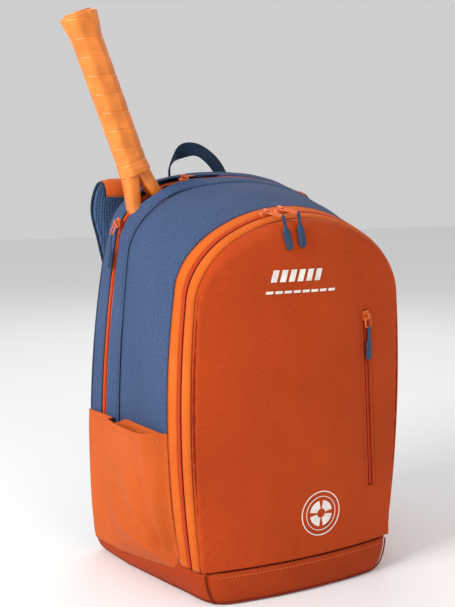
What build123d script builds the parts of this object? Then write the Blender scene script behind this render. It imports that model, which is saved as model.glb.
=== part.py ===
"""Racket backpack with a racket standing in its open main zip.

Millimetres. -Y is the front, +Y is the side that rests on the wearer's back, and +Z is
up, so -X is both the wearer's left and the left of the bag seen from its front. The
origin is on the ground under the middle of the base.
"""

import os
from collections import namedtuple
from math import asin, cos, hypot, radians, sin, sqrt

from build123d import *

# Cloth and padding
CLOTH = 2.4
TAPE = 1.6
COIL = 2.6
COIL_PROUD = 0.6
BACK_THICK = 5.0
GAP = 0.3

# Depths, from the front of the bag to the back
FRONT_EDGE = -98.0
FRONT_ZIP = -79.0
DIVIDER = -60.0
GUSSET_SEAM = 50.0
MAIN_ZIP = 84.0
BACK = 112.0
ZIP_HALF = 2.6
TAPE_REACH = 11.0

# Heights
BASE_TOP = 5.0
SKIRT_TOP = 22.0
BOOT_TOP = 38.0
WAIST = 220.0
POCKET_TOP = 184.0

# The shell's outline seen from the front: half widths at the base, waist and shoulder,
# the shoulder's height, where the top arc starts, how high the top is and how far it rises.
Outline = namedtuple("Outline", "base waist shoulder shoulder_z top_start top rise")
STATIONS = {
    FRONT_EDGE: Outline(120.0, 137.0, 132.0, 335.0, 84.0, 424.0, 22.0),
    DIVIDER: Outline(128.0, 149.0, 139.0, 352.0, 88.0, 437.0, 23.0),
    GUSSET_SEAM: Outline(157.0, 160.0, 147.0, 380.0, 74.0, 463.0, 10.0),
    BACK: Outline(166.0, 171.0, 146.0, 408.0, 70.0, 475.0, 7.0),
}

# Front panel: how far its middle stands in front of points this far to the side
FRONT_BULGE = 16.0
FRONT_REACH = 138.0
# How far in front of and above the panel the bodies that cut it reach
FRONT_CLEAR = -130.0
ABOVE_ALL = 460.0

REAR_CORNER = 14.0
DIVIDER_INSET = 8.5
FRAME_INSET = 14.0
FRAME_THICK = 1.5

# Zip hardware
SLIDER_LONG = 12.0
SLIDER_WIDE = 8.4
SLIDER_THICK = 2.2
SLIDER_LIFT = 0.5
BRIDGE_HIGH = 4.4
BRIDGE_LONG = 4.2
TUNNEL = 1.7
RING_WIRE = 1.6
RING_WIDE = 10.0
GRIP_WIDE = 8.5
NECK_WIDE = 5.0
GRIP_THICK = 3.2
FRONT_SLIDER_X = (-37.0, -19.0)
SIDE_SLIDER_Z = 414.0
TOP_SLIDER_X = -58.0

# Front pocket zip, nearly upright on the front panel
POCKET_ZIP_TOP = (77.0, 320.0)
POCKET_ZIP_END = (92.0, 108.0)
POCKET_SLOT = 7.0
POCKET_SHIFT = 2.0

# Side pockets: how far they stand off the shell at their front, middle and rear seams
POCKET_FRONT = -38.0
POCKET_MIDDLE = 20.0
POCKET_REAR = 104.0
POCKET_STANDS = (6.0, 19.0, 9.0)

# Racket: a full-size frame, handle up, leaning to the left
RACKET_LONG = 685.0
GRIP_LONG = 193.0
HANDLE_WIDE = 34.0
HANDLE_THICK = 30.0
CAP_LONG = 19.6
BAND_LONG = 11.0
HEAD_LONG = 340.0
HEAD_WIDE = 258.0
BEAM_THICK = 23.0
BEAM_WIDE = 11.0
ARM_WIDE = 15.0
SHAFT_WIDE = 24.0
STRING_THICK = 1.3
RACKET_LEAN = 20.6
COLLAR_AT = (-124.0, 84.0, 477.0)

# Harness
STRAP_THICK = 11.0
WEBBING_WIDE = 25.0
WEBBING_THICK = 1.8
PAD_THICK = 11.0
YOKE_Z = 430.0
YOKE_THICK = 5.0
YOKE_HIGH = 26.0


def outline_at(depth):
    """The shell's outline between the two stations that a depth lies between."""
    marks = sorted(STATIONS)
    depth_in = min(max(depth, marks[0]), marks[-1])
    for near, far in zip(marks, marks[1:]):
        if near <= depth_in <= far:
            share = (depth_in - near) / (far - near)
            pairs = zip(STATIONS[near], STATIONS[far])
            return Outline(*(a + (b - a) * share for a, b in pairs))
    raise ValueError(depth)


def tombstone(depth, inset=0.0):
    """Face of the shell's outline at one depth, inset from the outer skin."""
    o = outline_at(depth)
    base, waist, shoulder = o.base - inset, o.waist - inset, o.shoulder - inset
    crown = o.top - inset
    with BuildSketch(Plane.XZ.offset(-depth)) as face:
        with BuildLine():
            right = ThreePointArc((base, 0), (waist, WAIST), (shoulder, o.shoulder_z))
            left = ThreePointArc((-base, 0), (-waist, WAIST), (-shoulder, o.shoulder_z))
            top_z = crown - o.rise
            top = ThreePointArc((-o.top_start, top_z), (0, crown), (o.top_start, top_z))
            Spline(left @ 1, top @ 0, tangents=[left % 1, top % 0])
            Spline(right @ 1, top @ 1, tangents=[right % 1, -(top % 1)])
            Polyline((-base, 0), (-base, -10), (base, -10), (base, 0))
        make_face()
    return face.sketch.face()


def shell_ring(front, back, floor, thickness=CLOTH, proud=0.0):
    """A strip of the shell between two depths: left side, top and right side in one."""
    depths = [front] + [d for d in sorted(STATIONS) if front < d < back] + [back]
    with BuildPart() as strip:
        for near, far in zip(depths, depths[1:]):
            loft([tombstone(near, -proud), tombstone(far, -proud)], ruled=True)
        for near, far in zip(depths, depths[1:]):
            inner = thickness - proud
            loft([tombstone(near, inner), tombstone(far, inner)], ruled=True, mode=Mode.SUBTRACT)
        split(bisect_by=Plane.XY.offset(floor), keep=Keep.TOP)
    return strip.part


def front_depth(x):
    """How far forward the front panel's skin lies at a distance from the middle."""
    radius = (FRONT_REACH**2 + FRONT_BULGE**2) / (2 * FRONT_BULGE)
    return FRONT_EDGE - FRONT_BULGE + radius - sqrt(radius**2 - x**2)


def front_band(low, high, thickness=CLOTH, skin=0.0):
    """The bowed front skin between two heights, before it is cut to an outline."""
    reach = FRONT_REACH + 30
    with BuildPart() as band:
        with BuildSketch(Plane.XY.offset(low)):
            with BuildLine():
                outer = ThreePointArc(
                    (-reach, front_depth(reach) + skin),
                    (0, front_depth(0) + skin),
                    (reach, front_depth(reach) + skin),
                )
                inner = ThreePointArc(
                    (-reach, front_depth(reach) + skin + thickness),
                    (0, front_depth(0) + skin + thickness),
                    (reach, front_depth(reach) + skin + thickness),
                )
                Line(outer @ 0, inner @ 0)
                Line(outer @ 1, inner @ 1)
            make_face()
        extrude(amount=high - low)
    return band.part


def outline_prism(depth, inset, front, back):
    """The outline at one depth, carried straight from one depth to another."""
    with BuildPart() as prism:
        extrude(tombstone(depth, inset).moved(Location((0, back - depth, 0))), amount=back - front)
    return prism.part


def save(part, name):
    """Label one finished piece and write it to its own file."""
    part.label = name
    export_step(part, f"parts/{name}.step")


os.makedirs("parts", exist_ok=True)

# ---------------------------------------------------------------- bag shell
LENS_LONG = 51.0
LENS_DEEP = 24.0
LENS_REACH = 60.0
lens_mid = Vector((-101.0, MAIN_ZIP, 443.0))
lean = Vector((sin(radians(RACKET_LEAN)), 0, -cos(radians(RACKET_LEAN))))
across_racket = (cos(radians(RACKET_LEAN)), 0, sin(radians(RACKET_LEAN)))
lens_plane = Plane(origin=lens_mid - lean * LENS_REACH, x_dir=across_racket, z_dir=lean)

# The zip's tapes part around the racket: a lens that every strip there is cut to
with BuildPart() as racket_mouth:
    with BuildSketch(lens_plane):
        Ellipse(LENS_LONG, LENS_DEEP)
    extrude(amount=2 * LENS_REACH)


def cut_mouth(part):
    """Open a strip where the racket stands between the two rows of teeth."""
    return part - racket_mouth.part


SPLIT_Z = 365.0
with BuildPart() as body_shell:
    add(shell_ring(DIVIDER + GAP, GUSSET_SEAM - GAP, SKIRT_TOP + GAP))

with BuildPart() as side_panel_left:
    add(body_shell.part)
    split(bisect_by=Plane.YZ, keep=Keep.BOTTOM)
    split(bisect_by=Plane.XY.offset(SPLIT_Z - GAP), keep=Keep.BOTTOM)
save(side_panel_left.part, "side_panel_left")

with BuildPart() as side_panel_right:
    add(body_shell.part)
    split(bisect_by=Plane.YZ, keep=Keep.TOP)
    split(bisect_by=Plane.XY.offset(SPLIT_Z - GAP), keep=Keep.BOTTOM)
save(side_panel_right.part, "side_panel_right")

with BuildPart() as top_panel:
    add(body_shell.part)
    split(bisect_by=Plane.XY.offset(SPLIT_Z), keep=Keep.TOP)
save(top_panel.part, "top_panel")

zip_front = MAIN_ZIP - ZIP_HALF
zip_back = MAIN_ZIP + ZIP_HALF
skirt = SKIRT_TOP + GAP
coil_foot = POCKET_TOP + 4
gusset_front = shell_ring(GUSSET_SEAM, zip_front - TAPE_REACH - GAP, skirt)
gusset_rear = shell_ring(zip_back + TAPE_REACH + GAP, BACK - GAP, skirt)
tape_front = shell_ring(zip_front - TAPE_REACH, zip_front - GAP, skirt, TAPE)
tape_rear = shell_ring(zip_back + GAP, zip_back + TAPE_REACH, skirt, TAPE)
coil = shell_ring(zip_front, zip_back, coil_foot, COIL, COIL_PROUD)
save(cut_mouth(gusset_front), "main_gusset_front")
save(cut_mouth(gusset_rear), "main_gusset_rear")
save(cut_mouth(tape_front), "main_zip_tape_front")
save(cut_mouth(tape_rear), "main_zip_tape_rear")
save(cut_mouth(coil), "main_zip_coil")

# Divider between the two compartments, and the stiff back panel
with BuildPart() as divider_panel:
    extrude(tombstone(DIVIDER, DIVIDER_INSET), amount=CLOTH / 2, both=True)
    split(bisect_by=Plane.XY.offset(BASE_TOP + GAP), keep=Keep.TOP)
save(divider_panel.part, "divider_panel")

with BuildPart() as back_panel:
    extrude(tombstone(BACK), amount=-BACK_THICK)
    split(bisect_by=Plane.XY.offset(SKIRT_TOP + GAP), keep=Keep.TOP)
save(back_panel.part, "back_panel")

with BuildPart() as frame_sheet:
    extrude(tombstone(BACK, FRAME_INSET).moved(Location((0, -BACK_THICK, 0))), amount=FRAME_THICK)
    split(bisect_by=Plane.XY.offset(BASE_TOP + FRAME_INSET + 1), keep=Keep.TOP)
save(frame_sheet.part, "frame_sheet")


def footprint(inset=0.0):
    """Plan of the bag at its base: bowed front, splayed sides and a straight back."""
    rear = BACK + BACK_THICK - inset
    with BuildSketch() as plan:
        with BuildLine():
            corner = STATIONS[FRONT_EDGE].base - inset
            corner_y = front_depth(corner) + inset
            front = ThreePointArc((-corner, corner_y), (0, front_depth(0) + inset), (corner, corner_y))
            rear_half = STATIONS[BACK].base - inset
            seam_half = STATIONS[GUSSET_SEAM].base - inset
            rounding = REAR_CORNER * 0.3
            for end, sign in ((front @ 0, -1), (front @ 1, 1)):
                Polyline(end, (sign * seam_half, GUSSET_SEAM), (sign * rear_half, rear - REAR_CORNER))
                ThreePointArc(
                    (sign * rear_half, rear - REAR_CORNER),
                    (sign * (rear_half - rounding), rear - rounding),
                    (sign * (rear_half - REAR_CORNER), rear),
                )
            Line((-rear_half + REAR_CORNER, rear), (rear_half - REAR_CORNER, rear))
        make_face()
    return plan.sketch.face()


with BuildPart() as base_panel:
    extrude(footprint(), amount=BASE_TOP)
    fillet(base_panel.faces().sort_by(Axis.Z)[0].edges(), 1.5)
save(base_panel.part, "base_panel")

# Rubberised boot: high at the front below the front panel, low round the sides and back
with BuildPart() as boot:
    extrude(footprint().moved(Location((0, 0, BASE_TOP + GAP))), amount=BOOT_TOP - BASE_TOP - GAP)
    extrude(footprint(CLOTH).moved(Location((0, 0, BASE_TOP))), amount=BOOT_TOP, mode=Mode.SUBTRACT)
    with Locations((0, DIVIDER, SKIRT_TOP)):
        Box(400, 300, 60, align=(Align.CENTER, Align.MIN, Align.MIN), mode=Mode.SUBTRACT)
save(boot.part, "boot")


# ---------------------------------------------------------------- side pockets
def side_pocket(side):
    """A flat bellows pocket on one side, open at the top."""
    near, middle, far = POCKET_STANDS
    outside = [
        tombstone(POCKET_FRONT, -near),
        tombstone(POCKET_MIDDLE, -middle),
        tombstone(POCKET_REAR, -far),
    ]
    inside = [
        tombstone(POCKET_FRONT + CLOTH, 2 - near),
        tombstone(POCKET_MIDDLE, CLOTH - middle),
        tombstone(POCKET_REAR - CLOTH, 2 - far),
    ]
    half = Keep.TOP if side > 0 else Keep.BOTTOM
    with BuildPart() as pocket:
        loft(outside, ruled=True)
        loft(inside, ruled=True, mode=Mode.SUBTRACT)
        split(bisect_by=Plane.XY.offset(SKIRT_TOP + GAP), keep=Keep.TOP)
        split(bisect_by=Plane.XY.offset(POCKET_TOP), keep=Keep.BOTTOM)
        split(bisect_by=Plane.YZ, keep=half)
    with BuildPart() as floor:
        loft(outside, ruled=True)
        split(bisect_by=Plane.XY.offset(SKIRT_TOP + GAP), keep=Keep.TOP)
        split(bisect_by=Plane.XY.offset(SKIRT_TOP + GAP + CLOTH), keep=Keep.BOTTOM)
        split(bisect_by=Plane.YZ, keep=half)
    with BuildPart() as inner:
        depths = [DIVIDER, GUSSET_SEAM, BACK]
        for near, far in zip(depths, depths[1:]):
            loft([tombstone(near, -GAP), tombstone(far, -GAP)], ruled=True)
    with BuildPart() as joined:
        add(pocket.part)
        add(floor.part)
        add(inner.part, mode=Mode.SUBTRACT)
    return joined.part


save(side_pocket(-1), "side_pocket_left")
save(side_pocket(1), "side_pocket_right")

# ---------------------------------------------------------------- front compartment
coil_front = FRONT_ZIP - ZIP_HALF
coil_back = FRONT_ZIP + ZIP_HALF
front_foot = BOOT_TOP + 8
flap_foot = BOOT_TOP + 2
rear_tape = shell_ring(coil_back + GAP, DIVIDER - GAP, BOOT_TOP + GAP, TAPE)
rear_coil = shell_ring(FRONT_ZIP + GAP / 2, coil_back, front_foot, COIL, COIL_PROUD)
front_coil = shell_ring(coil_front, FRONT_ZIP - GAP / 2, front_foot, COIL, COIL_PROUD)
front_tape = shell_ring(FRONT_EDGE + GAP, coil_front - GAP, flap_foot, TAPE)
save(rear_tape, "front_zip_tape_rear")
save(rear_coil, "front_zip_coil_rear")
save(front_coil, "front_zip_coil_front")
save(front_tape, "front_zip_tape_front")

zip_high = Vector(POCKET_ZIP_TOP[0], FRONT_EDGE + 30, POCKET_ZIP_TOP[1])
zip_low = Vector(POCKET_ZIP_END[0], FRONT_EDGE + 30, POCKET_ZIP_END[1])
zip_run = zip_low - zip_high
zip_long = zip_run.length
slot_plane = Plane(origin=(zip_high + zip_low) / 2, x_dir=zip_run.normalized(), z_dir=(0, -1, 0))


def slot_prism(width, longer=0.0):
    """A straight slot through the front panel along the pocket zip."""
    with BuildPart() as slot:
        with BuildSketch(slot_plane):
            Rectangle(zip_long + longer, width)
        extrude(amount=60)
    return slot.part


with BuildPart() as front_hollow:
    add(front_band(0, ABOVE_ALL, 60, CLOTH))
    add(outline_prism(FRONT_EDGE, CLOTH, FRONT_CLEAR, FRONT_EDGE + 1), mode=Mode.INTERSECT)

# The front panel's cloth turns back round its edge to meet the zip tape
with BuildPart() as front_panel:
    add(front_band(flap_foot, ABOVE_ALL, 60))
    add(outline_prism(FRONT_EDGE, 0.0, FRONT_CLEAR, FRONT_EDGE), mode=Mode.INTERSECT)
    add(front_hollow.part, mode=Mode.SUBTRACT)
    add(slot_prism(POCKET_SLOT), mode=Mode.SUBTRACT)
save(front_panel.part, "front_panel")

with BuildPart() as pocket_zip_tape:
    add(front_band(60, 360, 1.2, 1.2))
    add(slot_prism(POCKET_SLOT - 2 * GAP, -2 * GAP), mode=Mode.INTERSECT)
save(pocket_zip_tape.part, "pocket_zip_tape")

with BuildPart() as pocket_zip_coil:
    add(front_band(60, 360, 1.0, 0.1))
    add(slot_prism(3.6, -4.0), mode=Mode.INTERSECT)
save(pocket_zip_coil.part, "pocket_zip_coil")

with BuildPart() as pocket_bag:
    add(front_band(92, 336, 7.0, CLOTH + 0.4))
    add(front_band(94, 334, 5.0, CLOTH + 1.4), mode=Mode.SUBTRACT)
    with Locations((POCKET_SHIFT, FRONT_EDGE, WAIST)):
        Box(208, 60, 300, mode=Mode.INTERSECT)
save(pocket_bag.part, "pocket_bag")

# Generic marks: two lines and a round badge, printed on the front panel
with BuildPart() as front_print:
    add(front_band(300, 400, 0.25, -0.3))
    with BuildPart(mode=Mode.PRIVATE) as bars:
        with BuildSketch(Plane.XZ.offset(90)):
            with Locations((-17, 364)):
                SlotOverall(66, 9)
            with Locations((-12, 345)):
                SlotOverall(88, 5)
        extrude(amount=40)
    add(bars.part, mode=Mode.INTERSECT)
save(front_print.part, "front_print")

with BuildPart() as round_badge:
    add(front_band(40, 140, 0.25, -0.3))
    with BuildPart(mode=Mode.PRIVATE) as rings:
        with BuildSketch(Plane.XZ.offset(90)):
            with Locations((17, 90)):
                Circle(26)
                Circle(24.6, mode=Mode.SUBTRACT)
                Circle(13)
        extrude(amount=40)
    add(rings.part, mode=Mode.INTERSECT)
save(round_badge.part, "round_badge")


# ---------------------------------------------------------------- zip sliders and pulls
def slider(seat, bar_along):
    """A zip slider on its seat: x along the zip, z away from the cloth.

    The bridge's tunnel runs along the zip where the pull swings across it.
    """
    with BuildPart(seat) as body:
        with Locations((0, 0, SLIDER_LIFT)):
            Box(SLIDER_LONG, SLIDER_WIDE, SLIDER_THICK, align=(Align.CENTER, Align.CENTER, Align.MIN))
        fillet(body.edges().filter_by(lambda e: abs(e.length - SLIDER_THICK) < 0.01), 2.2)
        long, wide = (BRIDGE_LONG, 6.0) if bar_along else (6.0, BRIDGE_LONG)
        with Locations((0, 0, SLIDER_LIFT + SLIDER_THICK - 0.1)):
            Box(long, wide, BRIDGE_HIGH, align=(Align.CENTER, Align.CENTER, Align.MIN))
        turn = (0, 90, 0) if bar_along else (90, 0, 0)
        with Locations(Location((0, 0, bar_height()), turn)):
            Cylinder(TUNNEL, 12, mode=Mode.SUBTRACT)
    return body.part


def bar_height():
    """How far above its seat a slider holds the ring's bar."""
    return SLIDER_LIFT + SLIDER_THICK + TUNNEL + 0.3


def pull(pivot, bar, run, droop, ring_long, neck_long, grip_long):
    """A wire ring and its moulded grip, hung on a bar at the pivot.

    run is the way the ring points, and droop the way the grip hangs from its end.
    """
    side = Vector(bar).normalized()
    along = Vector(run).normalized()
    ring_mid = Vector(pivot) + along * (ring_long / 2 - RING_WIRE / 2)
    ring_plane = Plane(origin=ring_mid, x_dir=along, z_dir=along.cross(side))
    with BuildPart() as ring:
        with BuildSketch(ring_plane):
            RectangleRounded(ring_long, RING_WIDE, 2.4)
            inner_long, inner_wide = ring_long - 2 * RING_WIRE, RING_WIDE - 2 * RING_WIRE
            RectangleRounded(inner_long, inner_wide, 0.9, mode=Mode.SUBTRACT)
        extrude(amount=RING_WIRE / 2, both=True)
    down = Vector(droop).normalized()
    start = Vector(pivot) + along * (ring_long - RING_WIRE / 2) + down * (GRIP_THICK / 2 - 0.2)
    grip_plane = Plane(origin=start, x_dir=down, z_dir=down.cross(side))
    with BuildPart() as grip:
        with BuildSketch(grip_plane):
            with Locations((neck_long / 2, 0)):
                Rectangle(neck_long, NECK_WIDE)
            with Locations((neck_long + grip_long / 2 - 1, 0)):
                RectangleRounded(grip_long, GRIP_WIDE, 2.8)
        extrude(amount=GRIP_THICK / 2, both=True)
    return ring.part, grip.part


def top_arc(depth):
    """Centre height and radius of the outline's top arc at one depth."""
    o = outline_at(depth)
    radius = (o.top_start**2 + o.rise**2) / (2 * o.rise)
    return o.top - radius, radius


def top_seat(depth, x):
    """A slider's seat on the top arc: x along the arc, z straight out from the sloping top."""
    centre, radius = top_arc(depth)
    slope = outline_at(depth + 5).top - outline_at(depth - 5).top
    angle = asin(x / radius)
    out = Vector(sin(angle), 0, cos(angle))
    seat = Vector(0, depth, centre) + out * (radius + COIL_PROUD)
    upright = out - Vector(0, slope / 10, 0)
    return Plane(origin=seat, x_dir=(cos(angle), 0, -sin(angle)), z_dir=upright)


def side_arc(depth):
    """Centre (x, z) and radius of the left side's long arc at one depth."""
    o = outline_at(depth)
    ax, az, bx, bz, cx, cz = -o.base, 0.0, -o.waist, WAIST, -o.shoulder, o.shoulder_z
    d = 2 * (ax * (bz - cz) + bx * (cz - az) + cx * (az - bz))
    a2, b2, c2 = ax**2 + az**2, bx**2 + bz**2, cx**2 + cz**2
    ux = (a2 * (bz - cz) + b2 * (cz - az) + c2 * (az - bz)) / d
    uz = (a2 * (cx - bx) + b2 * (ax - cx) + c2 * (bx - ax)) / d
    return ux, uz, hypot(ax - ux, az - uz)


def side_seat(depth, z):
    """A slider's seat on the left side's arc: x down the zip, z away from the bag."""
    cx, cz, radius = side_arc(depth)
    angle = asin((z - cz) / radius)
    out = Vector(-cos(angle), 0, sin(angle))
    seat = Vector(cx, depth, cz) + out * (radius + COIL_PROUD)
    return Plane(origin=seat, x_dir=(-sin(angle), 0, -cos(angle)), z_dir=out)


def on_seat(seat, height):
    """The point a given height above a seat."""
    return seat.origin + seat.z_dir * height


for label, x, lean_x in zip(("left", "right"), FRONT_SLIDER_X, (10.0, 7.0)):
    seat = top_seat(FRONT_ZIP, x)
    save(slider(seat, True), f"front_slider_{label}")
    pivot = on_seat(seat, bar_height())
    ring_end = front_depth(x) - 4.0
    ring_run = (1.0, ring_end - pivot.Y, -4.0)
    ring_reach = hypot(ring_end - pivot.Y, 4.0)
    ring, grip = pull(pivot, (1, 0, 0), ring_run, (lean_x / 38, 0, -1), ring_reach, 13.0, 24.0)
    save(ring, f"front_ring_{label}")
    save(grip, f"front_grip_{label}")

seat = side_seat(MAIN_ZIP, SIDE_SLIDER_Z)
save(slider(seat, False), "main_slider_side")
pivot = on_seat(seat, bar_height())
ring, grip = pull(pivot, (0, 1, 0), (-0.42, 0, -1), (-0.12, 0, -1), 17.0, 15.0, 24.0)
save(ring, "main_ring_side")
save(grip, "main_grip_side")

seat = top_seat(MAIN_ZIP, TOP_SLIDER_X)
save(slider(seat, False), "main_slider_top")
pivot = on_seat(seat, bar_height())
ring, grip = pull(pivot, (0, 1, 0), (1, 0, 0.09), (1, 0, 0.05), 15.0, 12.0, 22.0)
save(ring, "main_ring_top")
save(grip, "main_grip_top")

# Pocket slider: it starts just below the top of the slot and runs down the slot
zip_start = Vector(POCKET_ZIP_TOP[0], front_depth(POCKET_ZIP_TOP[0]), POCKET_ZIP_TOP[1])
zip_stop = Vector(POCKET_ZIP_END[0], front_depth(POCKET_ZIP_END[0]), POCKET_ZIP_END[1])
pocket_way = (zip_stop - zip_start).normalized()
pocket_out = Vector(sin(radians(14)), -cos(radians(14)), 0)
pocket_out = (pocket_out - pocket_way * pocket_out.dot(pocket_way)).normalized()
pocket_foot = zip_start + pocket_way * 8 + pocket_out * 0.4
pocket_seat = Plane(origin=pocket_foot, x_dir=pocket_way, z_dir=pocket_out)
save(slider(pocket_seat, False), "pocket_slider")
pivot = on_seat(pocket_seat, bar_height())
across = pocket_way.cross(pocket_out)
ring, grip = pull(pivot, across, pocket_way, pocket_way + pocket_out * -0.06, 15.0, 15.0, 22.0)
save(ring, "pocket_ring")
save(grip, "pocket_grip")

# ---------------------------------------------------------------- haul handle
HANDLE_LEFT = -60.0
HANDLE_RIGHT = 14.0
HANDLE_FOOT = 459.0
HANDLE_CROWN = (-27.0, 505.5)
LOOP_THICK = 3.0
LOOP_WIDE = 14.0
harness_y = BACK + BACK_THICK + GAP
with BuildPart() as haul_handle:
    with BuildSketch(Plane.XZ.offset(-harness_y)):
        with BuildLine():
            crown = ThreePointArc((HANDLE_LEFT, 484), HANDLE_CROWN, (HANDLE_RIGHT, 478))
            Line((HANDLE_LEFT, HANDLE_FOOT), crown @ 0)
            Line(crown @ 1, (HANDLE_RIGHT, HANDLE_FOOT))
        trace(line_width=LOOP_THICK)
    extrude(amount=-LOOP_WIDE)
save(haul_handle.part, "haul_handle")

# ---------------------------------------------------------------- back pads and harness
with BuildPart() as back_pads:
    with BuildSketch(Plane.XZ.offset(-harness_y)):
        for sign in (-1, 1):
            with Locations((sign * 66, 240)):
                RectangleRounded(84, 330, 28)
        with Locations((0, 70)):
            RectangleRounded(34, 60, 12)
    extrude(amount=-PAD_THICK)
    with Locations((0, BACK + BACK_THICK, YOKE_Z)):
        Box(200, 60, YOKE_HIGH + 6, mode=Mode.SUBTRACT)
    fillet(back_pads.faces().sort_by(Axis.Y)[-5:].edges(), 4)
save(back_pads.part, "back_pads")

with BuildPart() as strap_yoke:
    with BuildSketch(Plane.XZ.offset(-harness_y)):
        with Locations((0, YOKE_Z)):
            RectangleRounded(244, YOKE_HIGH, 8)
    extrude(amount=-YOKE_THICK)
save(strap_yoke.part, "strap_yoke")


def strap_outline(side):
    """The strap seen from behind: narrow apart at the yoke, splayed over the shoulder."""
    with BuildSketch(Plane.XZ.offset(-100)) as shape:
        with BuildLine():
            inner = Spline((side * 68, 500), (side * 74, 420), (side * 90, 300), (side * 104, 168))
            outer = Spline((side * 132, 500), (side * 141, 430), (side * 154, 340), (side * 138, 168))
            Line(inner @ 0, outer @ 0)
            Line(inner @ 1, outer @ 1)
        make_face()
    with BuildPart() as prism:
        extrude(shape.sketch.face(), amount=-200)
    return prism.part


def strap_profile(arch):
    """The strap seen from the side: out of the yoke, up over the arch and down."""
    start = harness_y + YOKE_THICK + GAP
    with BuildSketch(Plane.YZ) as shape:
        with BuildLine():
            FilletPolyline(
                (start, YOKE_Z),
                (start + 13, arch),
                (start + 38, arch - 2),
                (start + 56, 330),
                (start + 30, 172),
                radius=(12, 18, 90),
            )
        trace(line_width=STRAP_THICK)
    with BuildPart() as prism:
        extrude(shape.sketch.face(), amount=200, both=True)
    return prism.part


STRAP_ARCH = {"left": 462.0, "right": 446.0}
LOCK_AT = (121.0, 150.5, 160.0)
TAB_Z = 34.0
TAB_THICK = 1.6
TAB_SHAPE = ((108, 24), (150, 24), (152, 50), (128, 46), (108, 24))
for label, side in (("left", -1), ("right", 1)):
    with BuildPart() as strap:
        add(strap_profile(STRAP_ARCH[label]))
        add(strap_outline(side), mode=Mode.INTERSECT)
        with Locations((0, harness_y + YOKE_THICK + GAP, YOKE_Z)):
            Box(400, 60, 900, align=(Align.CENTER, Align.MAX, Align.CENTER), mode=Mode.SUBTRACT)
    save(strap.part, f"shoulder_strap_{label}")

    with BuildPart() as ladder_lock:
        with Locations((side * LOCK_AT[0], LOCK_AT[1], LOCK_AT[2])):
            Box(36, 6, 18)
            for shift in (-4.5, 4.5):
                with Locations((0, 0, shift)):
                    Box(WEBBING_WIDE + 1.6, 8, 4, mode=Mode.SUBTRACT)
        fillet(ladder_lock.edges().filter_by(Axis.Y).group_by(Axis.Z)[-1], 3)
    save(ladder_lock.part, f"ladder_lock_{label}")

    with BuildPart() as webbing:
        with BuildSketch(Plane.YZ.offset(side * (LOCK_AT[0] + 4) - WEBBING_WIDE / 2)):
            with BuildLine():
                Polyline((LOCK_AT[1], LOCK_AT[2] - 11), (harness_y + 12, 70), (harness_y + 3, TAB_Z))
            trace(line_width=WEBBING_THICK)
        extrude(amount=WEBBING_WIDE)
    save(webbing.part, f"lower_webbing_{label}")

    with BuildPart() as tab:
        with BuildSketch(Plane.XZ.offset(-harness_y)):
            with BuildLine():
                Polyline(*((side * x, z) for x, z in TAB_SHAPE))
            make_face()
        extrude(amount=-TAB_THICK)
    save(tab.part, f"webbing_tab_{label}")

# ---------------------------------------------------------------- racket
collar = Vector(*COLLAR_AT)
bed = Plane(origin=collar, x_dir=across_racket, z_dir=(0, -1, 0))
shaft_plane = Plane(origin=collar, x_dir=across_racket, z_dir=-lean)
head_at = (0, -(RACKET_LONG - GRIP_LONG - HEAD_LONG / 2))
half_wide, half_long = HEAD_WIDE / 2, HEAD_LONG / 2

with BuildPart() as racket_frame:
    with BuildSketch(bed):
        with Locations(head_at):
            Ellipse(half_wide, half_long)
        with BuildLine():
            Line((0, -1), (0, -26))
        trace(line_width=SHAFT_WIDE)
        for sign in (-1, 1):
            with BuildLine():
                arm = ((sign * 6, -20), (sign * 30, -85), (sign * 74, -176))
                Spline(*arm, tangents=[(0, -1), (sign * 0.4, -1)])
            trace(line_width=ARM_WIDE)
        with Locations(head_at):
            Ellipse(half_wide - BEAM_WIDE, half_long - BEAM_WIDE, mode=Mode.SUBTRACT)
    extrude(amount=BEAM_THICK / 2, both=True)
save(racket_frame.part, "racket_frame")

with BuildPart() as racket_bumper:
    with BuildSketch(bed):
        with Locations(head_at):
            Ellipse(half_wide + 2.2, half_long + 2.2)
            Ellipse(half_wide + 0.2, half_long + 0.2, mode=Mode.SUBTRACT)
        with Locations((0, head_at[1] + 60)):
            Rectangle(400, 340, mode=Mode.SUBTRACT)
    extrude(amount=8, both=True)
save(racket_bumper.part, "racket_bumper")

with BuildPart() as string_area:
    with BuildSketch(bed):
        with Locations(head_at):
            Ellipse(half_wide - BEAM_WIDE - 0.4, half_long - BEAM_WIDE - 0.4)
    extrude(amount=2, both=True)

with BuildPart() as racket_strings:
    with BuildSketch(bed):
        with Locations(head_at):
            with GridLocations(14.5, 1, 16, 1):
                Rectangle(STRING_THICK, HEAD_LONG)
            with GridLocations(1, 16.5, 1, 19):
                Rectangle(HEAD_WIDE, STRING_THICK)
    extrude(amount=STRING_THICK / 2, both=True)
    add(string_area.part, mode=Mode.INTERSECT)
save(racket_strings.part, "racket_strings")


def octagon(grow, bevel):
    """The racket handle's eight-sided section, wider than the wrapped handle by grow."""
    with BuildSketch(shaft_plane) as section:
        Rectangle(HANDLE_WIDE + grow, HANDLE_THICK + grow)
        chamfer(section.vertices(), bevel)
    return section.sketch.face()


with BuildPart() as grip_wrap:
    extrude(octagon(0.0, 9.0), amount=GRIP_LONG - 20)
    extrude(octagon(-4.6, 7.6), amount=GRIP_LONG - 20, mode=Mode.SUBTRACT)
save(grip_wrap.part, "grip_wrap")

with BuildPart() as handle_pallet:
    extrude(octagon(-5.0, 7.4), amount=GRIP_LONG - 20.4)
save(handle_pallet.part, "handle_pallet")

with BuildPart() as grip_collar:
    extrude(octagon(2.4, 9.8), amount=BAND_LONG)
    extrude(octagon(0.2, 9.1), amount=BAND_LONG, mode=Mode.SUBTRACT)
save(grip_collar.part, "grip_collar")

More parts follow.
